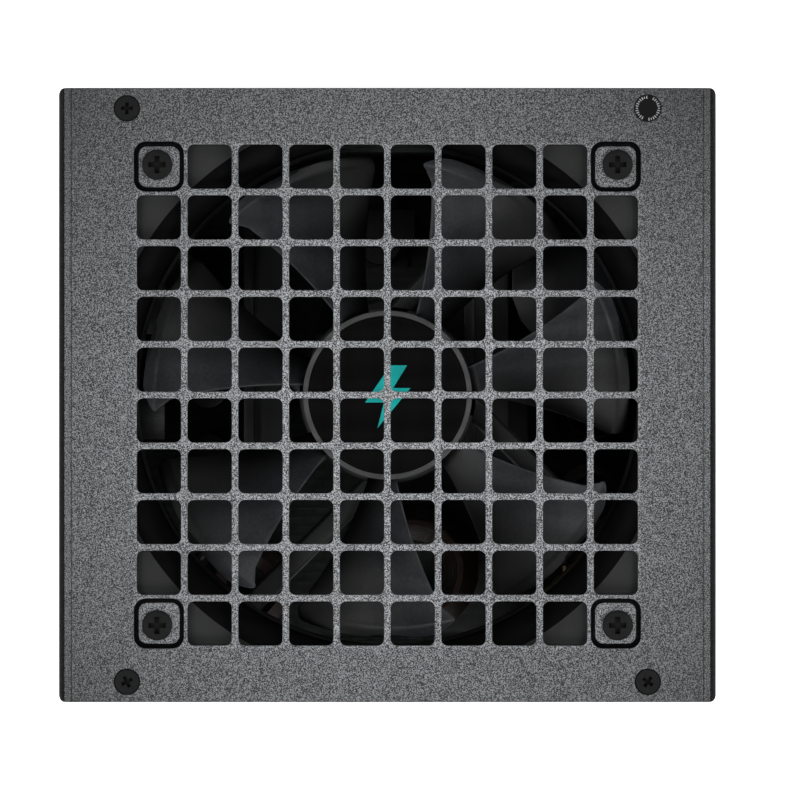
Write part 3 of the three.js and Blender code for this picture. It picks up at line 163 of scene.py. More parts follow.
FLOOR_REACH = 3.0
FLOOR_DROP = 0.0002
FLOOR_GLOW = 0.70
WORLD_GLOW = 0.05
LENS = 237
SENSOR = 36
CAMERA_PLACE = (0.00288, -0.00113, FACE_Z * MM + 1.2)
WIDE_BOX, DEEP_BOX = (0.9, 0.45), (0.45, 0.9)
SOFTBOXES = (
    ("left", (-0.80, 0.0, 0.95), DEEP_BOX, 5.3),
    ("right", (0.80, -0.05, 0.95), DEEP_BOX, 5.1),
    ("front", (0.05, -0.85, 0.95), WIDE_BOX, 6.2),
    ("back", (0.05, 0.90, 0.95), WIDE_BOX, 2.4),
)


# ---------------------------------------------------------------- mesh building
class Shape:
    """Points in millimetres, and faces with the number of the finish each one takes."""

    def __init__(self):
        self.points = []
        self.faces = []
        self.finishes = []

    def ring(self, points):
        start = len(self.points)
        self.points.extend(points)
        return list(range(start, len(self.points)))

    def face(self, corners, finish=0):
        self.faces.append(corners)
        self.finishes.append(finish)

    def bridge(self, first, second, finish=0, closed=True):
        count = len(first)
        for index in range(count if closed else count - 1):
            after = (index + 1) % count
            self.face([first[index], first[after], second[after], second[index]], finish)

    def loft(self, rings, finish=0, caps=(True, True)):
        made = [self.ring(points) for points in rings]
        for first, second in zip(made, made[1:]):
            self.bridge(first, second, finish)
        if caps[0]:
            self.face(made[0][::-1], finish)
        if caps[1]:
            self.face(made[-1], finish)
        return made

    def lathe(self, profile, sides, centre=(0, 0), finish=0):
        """Turns (radius, z) points about Z. A point on the axis closes the end."""
        rings = []
        for radius, z in profile:
            if radius == 0:
                rings.append(self.ring([(centre[0], centre[1], z)]))
                continue
            turns = [2 * math.pi * side / sides for side in range(sides)]
            rings.append(self.ring([
                (centre[0] + radius * math.cos(turn), centre[1] + radius * math.sin(turn), z)
                for turn in turns
            ]))
        for first, second in zip(rings, rings[1:]):
            if len(first) == 1 or len(second) == 1:
                tip, rim = (first[0], second) if len(first) == 1 else (second[0], first)
                for index in range(sides):
                    self.face([tip, rim[index], rim[(index + 1) % sides]], finish)
            else:
                self.bridge(first, second, finish)
        return rings

    def build(self, name, finishes, weld=True):
        mesh = bpy.data.meshes.new(name)
        mesh.from_pydata([[value * MM for value in point] for point in self.points], [], self.faces)
        for material in finishes:
            mesh.materials.append(material)
        mesh.polygons.foreach_set("material_index", self.finishes)
        made = bmesh.new()
        made.from_mesh(mesh)
        if weld:
            bmesh.ops.remove_doubles(made, verts=made.verts, dist=0.0005 * MM)
        bmesh.ops.recalc_face_normals(made, faces=made.faces)
        bmesh.ops.dissolve_degenerate(made, dist=0.0001 * MM, edges=made.edges)
        made.to_mesh(mesh)
        made.free()
        mesh.validate()
        mesh.shade_smooth()
        piece = bpy.data.objects.new(name, mesh)
        COLLECTION.objects.link(piece)
        return piece


def rounded(x, y, half_x, half_y, radius, steps=5):
    """A rounded rectangle that gives its outline grown by any amount."""
    def at(grow):
        corner = max(radius + grow, 0.02)
        wide, deep = half_x + grow - corner, half_y + grow - corner
        points = []
        for quarter, (side_x, side_y) in enumerate(((1, 1), (-1, 1), (-1, -1), (1, -1))):
            for step in range(steps + 1):
                turn = math.pi / 2 * (quarter + step / steps)
                points.append((
                    x + side_x * wide + corner * math.cos(turn),
                    y + side_y * deep + corner * math.sin(turn),
                ))
        return points
    return at


def circle(x, y, radius, sides=40):
    def at(grow):
        turns = [2 * math.pi * side / sides for side in range(sides)]
        return [(x + (radius + grow) * math.cos(t), y + (radius + grow) * math.sin(t)) for t in turns]
    return at


def clipped(x, y, half, clip):
    """A square with its two upper corners cut off."""
    def at(grow):
        size, cut = half + grow, clip + grow * 0.5
        corners = ((size, -size), (size, size - cut), (size - cut, size),
                   (cut - size, size), (-size, size - cut), (-size, -size))
        return [(x + u, y + v) for u, v in corners]
    return at


def flat(x, y, z):
    return (x, y, z)


def plate(shape, outer, holes, high, low, edge, place=flat, steps=3, finish=0, hole_finish=None):
    """A sheet from low to high with holes through it, every edge rounded."""
    hole_finish = finish if hole_finish is None else hole_finish
    rounding = [math.pi / 2 * step / steps for step in range(steps + 1)]
    levels = [(edge * (1 - math.sin(t)), high - edge * (1 - math.cos(t))) for t in rounding]
    levels += [(edge * (1 - math.sin(t)), low + edge * (1 - math.cos(t))) for t in reversed(rounding)]
    tops, bottoms = [], []
    for index, outline in enumerate([outer, *holes]):
        side = 1 if index else -1
        rings = [shape.ring([place(u, v, z) for u, v in outline(side * inset)]) for inset, z in levels]
        for first, second in zip(rings, rings[1:]):
            shape.bridge(first, second, hole_finish if index else finish)
        tops.append((rings[0], outline(side * levels[0][0])))
        bottoms.append((rings[-1], outline(side * levels[-1][0])))
    for side in (tops, bottoms):
        numbers = [number for ring, _ in side for number in ring]
        lines = [[Vector((u, v, 0)) for u, v in points] for _, points in side]
        for triangle in tessellate_polygon(lines):
            shape.face([numbers[corner] for corner in triangle], finish)


def weighted(piece):
    """Lets the large flat faces set the shading, so that only the rounded edges look round."""
    modifier = piece.modifiers.new("weighted_normals", "WEIGHTED_NORMAL")
    modifier.weight = 90
    modifier.keep_sharp = True


def riding(piece, body, slot, *nodes):
    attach(piece, body)
    if nodes:
        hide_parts(*nodes)
    return piece


# ---------------------------------------------------------------- finishes
class Finish:
    """A procedural material in object coordinates."""

    def __init__(self, name, metallic=0.0, specular=0.5):
        self.material = bpy.data.materials.new(name)
        self.material.use_nodes = True
        self.tree = self.material.node_tree
        self.shader = self.tree.nodes["Principled BSDF"]
        self.shader.inputs["Metallic"].default_value = metallic
        self.shader.inputs["Specular IOR Level"].default_value = specular
        self.coordinates = self.node("ShaderNodeTexCoord").outputs["Object"]

    def node(self, kind, **settings):
        made = self.tree.nodes.new(kind)
        for key, value in settings.items():
            setattr(made, key, value)
        return made

    def link(self, source, target):
        self.tree.links.new(source, target)

    def axes(self):
        """The object coordinates, one socket for each axis."""
        split = self.node("ShaderNodeSeparateXYZ")
        self.link(self.coordinates, split.inputs[0])
        return split.outputs

    def noise(self, size, detail=2.0, roughness=0.5, distortion=0.0, stretch=None):
        made = self.node("ShaderNodeTexNoise")
        made.inputs["Scale"].default_value = 1 / (size * MM)
        made.inputs["Detail"].default_value = detail
        made.inputs["Roughness"].default_value = roughness
        made.inputs["Distortion"].default_value = distortion
        source = self.coordinates
        if stretch:
            mapping = self.node("ShaderNodeMapping")
            mapping.inputs["Scale"].default_value = stretch
            self.link(source, mapping.inputs["Vector"])
            source = mapping.outputs["Vector"]
        self.link(source, made.inputs["Vector"])
        return made.outputs["Fac"]

    def ramp(self, source, stops):
        made = self.node("ShaderNodeValToRGB")
        ramp = made.color_ramp
        while len(ramp.elements) < len(stops):
            ramp.elements.new(0.5)
        for element, (position, colour) in zip(ramp.elements, stops):
            element.position = position
            element.color = (*colour, 1)
        self.link(source, made.inputs["Fac"])
        return made.outputs["Color"]

    def span(self, source, low, high, start=0.0, end=1.0):
        made = self.node("ShaderNodeMapRange")
        for key, value in (("From Min", start), ("From Max", end), ("To Min", low), ("To Max", high)):
            made.inputs[key].default_value = value
        self.link(source, made.inputs["Value"])
        return made.outputs["Result"]

    def mix(self, factor, first, second, blend="MIX"):
        made = self.node("ShaderNodeMix", data_type="RGBA", blend_type=blend)
        for socket, value in ((made.inputs[0], factor), (made.inputs[6], first), (made.inputs[7], second)):
            if isinstance(value, (int, float)):
                socket.default_value = value
            elif isinstance(value, tuple):
                socket.default_value = (*value, 1)
            else:
                self.link(value, socket)
        return made.outputs[2]

    def maths(self, operation, first, second=0.0):
        made = self.node("ShaderNodeMath", operation=operation)
        for socket, value in zip(made.inputs, (first, second)):
            if isinstance(value, (int, float)):
                socket.default_value = value
            else:
                self.link(value, socket)
        return made.outputs[0]

    def bump(self, height, distance, strength=1.0, under=None):
        made = self.node("ShaderNodeBump")
        made.inputs["Strength"].default_value = strength
        made.inputs["Distance"].default_value = distance * MM
        self.link(height, made.inputs["Height"])
        if under:
            self.link(under, made.inputs["Normal"])
        return made.outputs["Normal"]

    def done(self, colour, roughness, normal=None):
        self.link(colour, self.shader.inputs["Base Color"])
        self.link(roughness, self.shader.inputs["Roughness"])
        if normal:
            self.link(normal, self.shader.inputs["Normal"])
        return self.material

    def worn(self, colour, tone, amount):
        """Lightens the convex edges."""
        edge = self.node("ShaderNodeNewGeometry").outputs["Pointiness"]
        return self.mix(self.span(edge, 0.0, amount, 0.52, 0.62), colour, tone)


def scaled(colour, factor):
    return tuple(min(1.0, value * factor) for value in colour)


def face_drift(made, x, y):
    """Painted brightness over the fan face: a fall from the middle, a tilt along Y and lighter ribs.

    It stands in for uneven light and isn't the colour of a real coat.
    """
    squares = made.maths("ADD", made.maths("MULTIPLY", x, x), made.maths("MULTIPLY", y, y))
    drift = made.maths("SUBTRACT", DRIFT_MIDDLE, made.maths("MULTIPLY", squares, DRIFT_FALL))
    drift = made.maths("SUBTRACT", drift, made.maths("MULTIPLY", y, DRIFT_TILT))
    widest = made.maths("MAXIMUM", made.maths("ABSOLUTE", x), made.maths("ABSOLUTE", y))
    grille = HOLE_PITCH * HOLE_COUNT / 2
    ribs = made.span(widest, RIB_LIFT, 1.0, (grille - 0.6) * MM, (grille + 0.1) * MM)
    return made.maths("MULTIPLY", drift, ribs)


def coat(name, tone, spread, gloss=0.5, face=False):
    """Grained powder coat: light and dark specks a fraction of a millimetre across."""
    made = Finish(name, specular=gloss)
    grain = made.noise(GRAIN_SIZE, detail=1.2, roughness=0.6)
    colour = made.ramp(grain, (
        (0.42, scaled(tone, 1 - spread)),
        (0.50, scaled(tone, 0.78)),
        (0.57, scaled(tone, 1 + 3.2 * spread)),
    ))
    cloud = made.span(made.noise(38, detail=3), 0.86, 1.14)
    colour = made.mix(1.0, colour, cloud, "MULTIPLY")
    if face:
        axes = made.axes()
        colour = made.mix(1.0, colour, face_drift(made, axes["X"], axes["Y"]), "MULTIPLY")
    roughness = made.span(grain, 0.62, 0.42, 0.3, 0.7)
    pits = made.bump(made.noise(PIT_SIZE, detail=1.0), 0.08, 0.5)
    normal = made.bump(grain, 0.05, 0.8, pits)
    return made.done(colour, roughness, normal)


def plastic(name, tone, roughness=0.45, gloss=0.4, grain=0.35, bump=0.02, wear=1.8, deep=None):
    """Moulded plastic. With deep, a span of heights in mm over which painted shade makes it darker
    downwards, and lighter than its tone near the top.
    """
    made = Finish(name, specular=gloss)
    fine = made.noise(grain, detail=3)
    broad = made.noise(14, detail=3)
    colour = made.ramp(fine, ((0.3, scaled(tone, 0.82)), (0.7, scaled(tone, 1.2))))
    colour = made.mix(1.0, colour, made.span(broad, 0.82, 1.18), "MULTIPLY")
    colour = made.worn(colour, scaled(tone, wear), 0.4)
    if deep:
        # Painted shade by height: dark at the bottom of the span, lighter than the tone at its top.
        painted_height_shading = made.span(made.axes()["Z"], 0.06, 1.65, deep[0] * MM, deep[1] * MM)
        colour = made.mix(1.0, colour, painted_height_shading, "MULTIPLY")
    rough = made.span(broad, roughness - 0.08, roughness + 0.1, 0.3, 0.7)
    return made.done(colour, rough, made.bump(fine, bump, 0.7))


def metal(name, tone, roughness=0.3, stretch=(1, 1, 1), grain=0.5, metallic=1.0, gloss=0.5):
    made = Finish(name, metallic=metallic, specular=gloss)
    lines = made.noise(grain, detail=4, stretch=stretch)
    smudge = made.noise(9, detail=3)
    colour = made.ramp(lines, ((0.3, scaled(tone, 0.84)), (0.7, scaled(tone, 1.08))))
    colour = made.mix(1.0, colour, made.span(smudge, 0.85, 1.1), "MULTIPLY")
    rough = made.span(smudge, roughness - 0.08, roughness + 0.14, 0.3, 0.7)
    return made.done(colour, rough, made.bump(lines, 0.006, 0.6))


def winding(name, tone):
    """Enamelled wire wound close, turn beside turn."""
    made = Finish(name, specular=0.6)
    wave = made.node("ShaderNodeTexWave", bands_direction="Z")
    wave.inputs["Scale"].default_value = 1 / (2.4 * MM)
    wave.inputs["Distortion"].default_value = 1.2
    made.link(made.coordinates, wave.inputs["Vector"])
    turns = wave.outputs["Fac"]
    colour = made.ramp(turns, ((0.05, scaled(tone, 0.25)), (0.5, tone), (0.95, scaled(tone, 1.3))))
    return made.done(colour, made.span(made.noise(3), 0.25, 0.45), made.bump(turns, 0.35, 0.9))


def board(name, tone):
    """Solder mask over copper: tracks and pads as a faint lighter pattern."""
    made = Finish(name, specular=0.5)
    tracks = made.node("ShaderNodeTexBrick")
    tracks.inputs["Scale"].default_value = 1 / (9 * MM)
    tracks.inputs["Mortar Size"].default_value = 0.06
    tracks.inputs["Color1"].default_value = (*tone, 1)
    tracks.inputs["Color2"].default_value = (*scaled(tone, 1.35), 1)
    tracks.inputs["Mortar"].default_value = (*scaled(tone, 0.55), 1)
    made.link(made.coordinates, tracks.inputs["Vector"])
    dust = made.span(made.noise(4, detail=4), 0.8, 1.2)
    colour = made.mix(1.0, tracks.outputs["Color"], dust, "MULTIPLY")
    rough = made.span(made.noise(1.2), 0.3, 0.5)
    return made.done(colour, rough, made.bump(tracks.outputs["Fac"], 0.05, 0.6))


FACE_TONE = (0.090, 0.093, 0.097)
BASE_TONE = (0.030, 0.031, 0.032)
COVER_COAT = coat("cover_coat", FACE_TONE, 0.85, face=True)
# Painted shade: the face's own coat made near black where the fold turns away and down the side walls.
SIDE_SHADE_COAT = coat("side_wall_painted_shade", (0.010, 0.0104, 0.0108), 0.5, gloss=0.03)
BASE_COAT = coat("base_coat", BASE_TONE, 0.45)
# Painted shade: near black, standing for the shadow on the fan-screw pockets' sloping sides and under them.
POCKET_SHADE = coat("pocket_painted_shade", (0.0028, 0.0028, 0.0030), 0.4, gloss=0.03)
SCREW_BLACK = metal("screw_black", (0.0040, 0.0043, 0.0045), 0.6, grain=0.3, metallic=0.0, gloss=0.25)
RECESS_BLACK = plastic("recess_black", (0.004, 0.004, 0.004), 0.6, 0.15)
FRAME_PLASTIC = plastic("frame_plastic", (0.018, 0.0185, 0.019), 0.42)
# Painted shade: the frame's own plastic made near black on the sloping intake mouth under the grille.
MOUTH_SHADE_PLASTIC = plastic("mouth_painted_shade", (0.0018, 0.0018, 0.0020), 0.5, 0.05)
# Painted shade: the blades darken towards their low trailing edges.
IMPELLER_PLASTIC = plastic("impeller_plastic", (0.0235, 0.0245, 0.0265), 0.42, 0.25, grain=0.8, wear=1.05,
                           deep=(66.0, 79.5))
# Painted highlight: the hub's raised rim, made lighter grey than the rest of the black moulding.
HUB_RIM_HIGHLIGHT = plastic("hub_rim_painted_highlight", (0.075, 0.075, 0.076), 0.5, wear=1.2)
LABEL_BLACK = plastic("label_black", (0.0030, 0.0030, 0.0031), 0.55, 0.06)
LABEL_TEAL = plastic("label_teal", (0.002, 0.36, 0.34), 0.5, 0.3)
SEAL_BLACK = plastic("seal_black", (0.0085, 0.0085, 0.0088), 0.5, 0.08)
SEAL_INK = plastic("seal_ink", (0.32, 0.32, 0.32), 0.5, 0.3)
CONNECTOR_BLACK = plastic("connector_black", (0.016, 0.016, 0.017), 0.5, 0.4)
PIN_METAL = metal("pin_metal", (0.78, 0.66, 0.38), 0.25)
STEEL = metal("bright_steel", (0.62, 0.63, 0.64), 0.28, stretch=(1, 1, 12))
ALUMINIUM = metal("heatsink_aluminium", (0.045, 0.046, 0.048), 0.42, stretch=(1, 8, 1), metallic=0.5)
SLOT_FINISHES = {
    "coated_steel": BASE_COAT,
    "black_screw": SCREW_BLACK,
    "frame_plastic": FRAME_PLASTIC,
    "impeller_plastic": IMPELLER_PLASTIC,
    "connector_plastic": CONNECTOR_BLACK,
    "label_film": LABEL_BLACK,
    "pin_brass": PIN_METAL,
    "bright_steel": STEEL,
    "heatsink_aluminium": ALUMINIUM,
    "ferrite": plastic("ferrite", (0.030, 0.030, 0.032), 0.65, 0.3, grain=0.6, bump=0.06),
    "winding": winding("winding", (0.022, 0.0115, 0.007)),
    "circuit_board": board("circuit_board", (0.006, 0.010, 0.008)),
    "film": plastic("film", (0.02, 0.022, 0.024), 0.35, 0.5, grain=2.0),
    "capacitor_sleeve": plastic("capacitor_sleeve", (0.007, 0.0075, 0.010), 0.35, 0.4, grain=2.5),
    "box_plastic": plastic("box_plastic", (0.26, 0.19, 0.025), 0.45),
    "wire_sleeve": plastic("wire_sleeve", (0.02, 0.02, 0.02), 0.45, grain=1.0),
}


# ---------------------------------------------------------------- CAD nodes that stay in view
def smoothing():
    """Rounds the shading over shallow edges, and keeps the sharp ones."""
    tree = bpy.data.node_groups.new("smooth_by_angle", "GeometryNodeTree")
    tree.is_modifier = True
    for side in ("INPUT", "OUTPUT"):
        tree.interface.new_socket("Geometry", in_out=side, socket_type="NodeSocketGeometry")
    enter, leave = tree.nodes.new("NodeGroupInput"), tree.nodes.new("NodeGroupOutput")
    angle = tree.nodes.new("GeometryNodeInputMeshEdgeAngle")
    shallow = tree.nodes.new("FunctionNodeCompare")
    shallow.data_type = "FLOAT"
    shallow.operation = "LESS_THAN"
    shallow.inputs[1].default_value = math.radians(33)
    faces, edges = (tree.nodes.new("GeometryNodeSetShadeSmooth") for _ in range(2))
    faces.domain = "FACE"
    edges.domain = "EDGE"
    tree.links.new(enter.outputs[0], faces.inputs["Geometry"])
    tree.links.new(faces.outputs[0], edges.inputs["Geometry"])
    tree.links.new(angle.outputs["Unsigned Angle"], shallow.inputs[0])
    tree.links.new(shallow.outputs[0], edges.inputs["Shade Smooth"])
    tree.links.new(edges.outputs[0], leave.inputs[0])
    return tree


SMOOTHING = smoothing()
BEVELS = {"base_chassis": 0.18, "mains_inlet_body": 0.5, "switch_housing": 0.45, "switch_rocker": 0.5}
SMALL_BEVEL = 0.2


def dress(node, piece, finish):
    piece.data.materials.clear()
    piece.data.materials.append(finish)
    weld = piece.modifiers.new("weld", "WELD")
    weld.merge_threshold = 0.002 * MM
    bevel = piece.modifiers.new("edges", "BEVEL")
    bevel.width = BEVELS.get(node, SMALL_BEVEL) * MM
    bevel.segments = 2
    bevel.limit_method = "ANGLE"
    bevel.angle_limit = math.radians(40)
    bevel.use_clamp_overlap = True
    smooth = piece.modifiers.new("smooth", "NODES")
    smooth.node_group = SMOOTHING


SLOTS = {part["node"]: part["material_slot"] for part in frame["record"]["subparts"]}
for cad_name, cad_piece in frame["nodes"].items():
    dress(cad_name, cad_piece, SLOT_FINISHES[SLOTS[cad_name]])


# ---------------------------------------------------------------- case cover
def fold_ring(side, y, inset):
    """The cover's section at one side: over the fold, down the wall and back up inside."""
    wall, top, foot = COVER_HIGH.x, FACE_Z, COVER_LOW.z
    bend_x, bend_z = wall - FOLD_RADIUS, top - FOLD_RADIUS
    outer = FOLD_RADIUS - inset
    inner = FOLD_RADIUS - SHEET + inset
    turns = [math.pi / 2 * (1 - step / FOLD_STEPS) for step in range(FOLD_STEPS + 1)]
    line = [(bend_x + outer * math.cos(t), bend_z + outer * math.sin(t)) for t in turns]
    tip = (wall - SHEET / 2, foot + inset)
    line += [(wall - inset, foot + FOOT_HEIGHT), (wall - HEM - inset, foot + inset + HEM_LIFT), tip]
    inside = wall - SHEET + inset
    back = [tip, (inside + HEM, foot + inset + HEM_LIFT), (inside, foot + FOOT_HEIGHT)]
    back += [(bend_x + inner * math.cos(t), bend_z + inner * math.sin(t)) for t in reversed(turns)]
    section = []
    for x, z in line + back[1:]:
        past = min(max(0.0, x - (wall - FOLD_CORNER)), FOLD_CORNER)
        pull = FOLD_CORNER - math.sqrt(FOLD_CORNER ** 2 - past ** 2)
        section.append((side * x, y - math.copysign(pull, y), z))
    return section


def pocket_ring(x, y, half, corner, z):
    return [(u, v, z) for u, v in rounded(x, y, half, half, corner, steps=POCKET_ARC_STEPS)(0)]


def add_pocket(cover, x, y):
    """A pressed pocket for a fan screw: its sloping side, the raised pad and the sheet's underside. The
    sloping side and the underside take a near-black painted shade.
    """
    opening = POCKET_OPENING / 2
    made = cover.loft([pocket_ring(x, y, *step) for step in (
        (opening + 0.05, POCKET_CORNER, FACE_Z - 0.18),
        (opening - 0.12, 2.6, FACE_Z - 0.55),
        (opening - 0.32, 2.45, FACE_Z - 1.2),
        (opening - 0.55, 2.3, FACE_Z - POCKET_DEPTH),
        (POCKET_FLOOR / 2, 1.9, FACE_Z - POCKET_DEPTH + 0.02),
    )], finish=1, caps=(False, False))
    pad_half = POCKET_FLOOR / 2 - PAD_INSET
    pad = cover.ring(pocket_ring(x, y, pad_half, PAD_CORNER, FACE_Z - POCKET_DEPTH + PAD_RISE))
    cover.bridge(made[-1], pad, 0)
    cover.face(pad, 0)
    under = [cover.ring(pocket_ring(x, y, half, POCKET_CORNER, z)) for half, z in (
        (opening + 0.05, FACE_Z - SHEET + 0.1),
        (opening - 0.2, FACE_Z - POCKET_DEPTH - SHEET),
    )]
    cover.bridge(made[0], under[0], 1)
    cover.bridge(under[0], under[1], 1)
    cover.face(under[1], 1)


def add_cover():
    cover = Shape()
    half_x = COVER_HIGH.x - FOLD_RADIUS
    half_y = COVER_HIGH.y
    middles = [(index - (HOLE_COUNT - 1) / 2) * HOLE_PITCH for index in range(HOLE_COUNT)]
    opening = POCKET_OPENING / 2
    holes = []
    for x in middles:
        for y in middles:
            if abs(x) > middles[-2] + 1 and abs(y) > middles[-2] + 1:
                holes.append(rounded(x, y, opening, opening, POCKET_CORNER, steps=POCKET_ARC_STEPS))
                add_pocket(cover, x, y)
            else:
                holes.append(rounded(x, y, HOLE_SIZE / 2, HOLE_SIZE / 2, HOLE_CORNER))
    for index in range(1, len(CORNERS) + 1):
        low, high = box_mm(f"cover_screw_{index}")
        middle = (low + high) / 2
        holes.append(circle(middle.x, middle.y, (high.x - low.x) / 2 + HEAD_CLEARANCE))
    plate(cover, rounded(0, 0, half_x, half_y, 0.05, steps=1), holes, FACE_Z, FACE_Z - SHEET, SHEET_EDGE)
    for side in (-1, 1):
        rings = []
        for share in (0, 0.35, 1):
            rings.append(fold_ring(side, -half_y + share * SHEET_EDGE, SHEET_EDGE * (1 - share) ** 2))
        for share in (1, 0.35, 0):
            rings.append(fold_ring(side, half_y - share * SHEET_EDGE, SHEET_EDGE * (1 - share) ** 2))
        made = [cover.ring(points) for points in rings]
        for first, second in zip(made, made[1:]):
            for index in range(len(first)):
                after = (index + 1) % len(first)
                # Past the first fold steps, the fold, the walls and their end caps take the painted-shade
                # side coat.
                finish = 0 if index < LIT_FOLD_STEPS else 2
                cover.face([first[index], first[after], second[after], second[index]], finish)
        for end in (made[0], made[-1]):
            last = len(end) - 1
            for index in range(last // 2):
                cover.face([end[index], end[index + 1], end[last - index - 1], end[last - index]], 2)
    piece = cover.build("case_cover", [COVER_COAT, POCKET_SHADE, SIDE_SHADE_COAT])
    weighted(piece)
    riding(piece, "housing", "coated_steel", "top_cover")


# ---------------------------------------------------------------- screws and seal
def cross_cutter(reach, half_width, top, depth):
    """A tapered cross, as a Phillips driver's tip."""
    cutter = Shape()
    for swap in (False, True):
        rings = []
        for share, z in ((0.75, top - depth), (1.0, top + 0.4)):
            corners = ((-reach * share, -half_width), (reach * share, -half_width),
                       (reach * share, half_width), (-reach * share, half_width))
            rings.append([((v, u, z) if swap else (u, v, z)) for u, v in corners])
        cutter.loft(rings)
    return cutter.build("cross_cutter", [RECESS_BLACK], weld=False)


def cut_with(piece, cutter):
    """Cuts the cutter out of the piece for good, with the cutter's own finish on the cut."""
    piece.data.materials.append(RECESS_BLACK)
    modifier = piece.modifiers.new("cut", "BOOLEAN")
    modifier.operation = "DIFFERENCE"
    modifier.solver = "EXACT"
    modifier.use_self = True
    modifier.object = cutter
    modifier.material_mode = "TRANSFER"
    bpy.context.view_layer.update()
    graph = bpy.context.evaluated_depsgraph_get()
    made = bpy.data.meshes.new_from_object(piece.evaluated_get(graph))
    piece.modifiers.clear()
    piece.data = made
    bpy.data.objects.remove(cutter)


def screw_mesh(radius, top, shoulder, foot, reach, crown):
    head = Shape()
    head.lathe([
        (0, top),
        (radius * 0.55, top - crown * 0.2),
        (radius * 0.82, top - crown * 0.6),
        (radius * 0.95, top - crown),
        (radius, top - crown - 0.16),
        (radius, shoulder + 0.1),
        (radius - 0.1, shoulder),
        (radius * SCREW_CORE, shoulder - 0.02),
        (radius * SCREW_CORE, foot),
        (0, foot),
    ], SCREW_SIDES)
    piece = head.build("screw_pattern", [SCREW_BLACK])
    cut_with(piece, cross_cutter(reach, reach * CROSS_SHARE, top, CROSS_DEPTH))
    piece.data.shade_smooth()
    made = piece.data
    bpy.data.objects.remove(piece)
    return made


def add_screws():
    for family, style in (("fan_screw", FAN_SCREW), ("cover_screw", COVER_SCREW)):
        low, high = box_mm(f"{family}_1")
        radius = (high.x - low.x) / 2
        mesh = screw_mesh(radius, 0, -style["thickness"], low.z - high.z, style["reach"], style["crown"])
        for index in range(1, 5):
            node = f"{family}_{index}"
            low, high = box_mm(node)
            piece = bpy.data.objects.new(f"{node}_head", mesh)
            COLLECTION.objects.link(piece)
            piece.location = Vector(((low.x + high.x) / 2, (low.y + high.y) / 2, high.z)) * MM
            piece.rotation_euler.z = math.radians(style["turn"] * (index - 1))
            modifier = piece.modifiers.new("smooth", "NODES")
            modifier.node_group = SMOOTHING
            riding(piece, "housing", "black_screw", node)


def add_seal():
    low, high = box_mm("warranty_seal")
    middle = (low + high) / 2
    radius = (high.x - low.x) / 2
    film = high.z - low.z
    disc = Shape()
    disc.lathe([(0, high.z - 0.02), (radius - 0.12, high.z - 0.02), (radius, high.z - film * 0.6),
                (radius - 0.02, low.z), (0, low.z)], 56, (middle.x, middle.y))
    for index in range(SEAL_TICKS):
        if index % 15 in (6, 7):
            continue
        turn = 2 * math.pi * index / SEAL_TICKS
        tall = SEAL_TALL_TICK if index % 3 else SEAL_SHORT_TICK
        corners = []
        for side, reach in ((-1, -tall), (1, -tall), (1, tall), (-1, tall)):
            across = side * SEAL_TICK_HALF
            distance = SEAL_TICK_RADIUS + reach
            corners.append((
                middle.x + distance * math.cos(turn) - across * math.sin(turn),
                middle.y + distance * math.sin(turn) + across * math.cos(turn),
            ))
        disc.loft([[(x, y, z) for x, y in corners] for z in (high.z - SEAL_INK_DEPTH, high.z)], 1)
    piece = disc.build("tamper_seal", [SEAL_BLACK, SEAL_INK])
    weighted(piece)
    riding(piece, "housing", "label_film", "warranty_seal")


# ---------------------------------------------------------------- fan
def blade_edges(radius):
    """Angles in degrees of the leading and trailing edges, from the blade's tip corner."""
    along = (min(radius, TIP_ROUND_FROM) - BLADE_ROOT) / (TIP_ROUND_FROM - BLADE_ROOT)
    past = max(0.0, radius - TIP_ROUND_FROM) / (BLADE_TIP - TIP_ROUND_FROM)
    rounding = 1 - math.sqrt(max(0.0, 1 - past * past))
    lobe = TIP_LOBE * math.exp(-((radius - TIP_LOBE_RADIUS) / TIP_LOBE_WIDTH) ** 2)
    return -9 + 9 * along - 5 * rounding + lobe, -27 - 10.5 * along + 2.5 * rounding


def add_blade(fan, tip_angle):
    span, rest = TIP_ROUND_FROM - BLADE_ROOT, BLADE_TIP - TIP_ROUND_FROM
    radii = [BLADE_ROOT + span * step / BLADE_INNER_STEPS for step in range(BLADE_INNER_STEPS)]
    for step in range(BLADE_TIP_STEPS + 1):
        radii.append(TIP_ROUND_FROM + rest * math.sin(math.pi / 2 * step / BLADE_TIP_STEPS))
    rings = []
    for radius in radii:
        leading, trailing = blade_edges(radius)
        sweep = math.radians(leading - trailing)
        upper, lower = [], []
        for step in range(BLADE_CHORD_STEPS + 1):
            share = 0.5 - 0.5 * math.cos(math.pi * step / BLADE_CHORD_STEPS)
            drop = (BLADE_HIGH - BLADE_LOW) * ((1 + BLADE_CAMBER) * share - BLADE_CAMBER * share * share)
            steepness = 1 + BLADE_CAMBER - 2 * BLADE_CAMBER * share
            slope = (BLADE_HIGH - BLADE_LOW) * steepness / (sweep * radius)
            length = math.hypot(1, slope)
            half = BLADE_THICKNESS / 2 * (0.2 + 0.8 * math.sin(math.pi * share) ** 0.6)
            angle = math.radians(tip_angle + leading) - share * sweep
            turn = half * slope / length / radius
            lift = half / length
            for side, line in ((1, upper), (-1, lower)):
                at = angle - side * turn
                line.append((radius * math.cos(at), radius * math.sin(at), BLADE_HIGH - drop + side * lift))
        rings.append(upper + lower[::-1])
    fan.loft(rings)


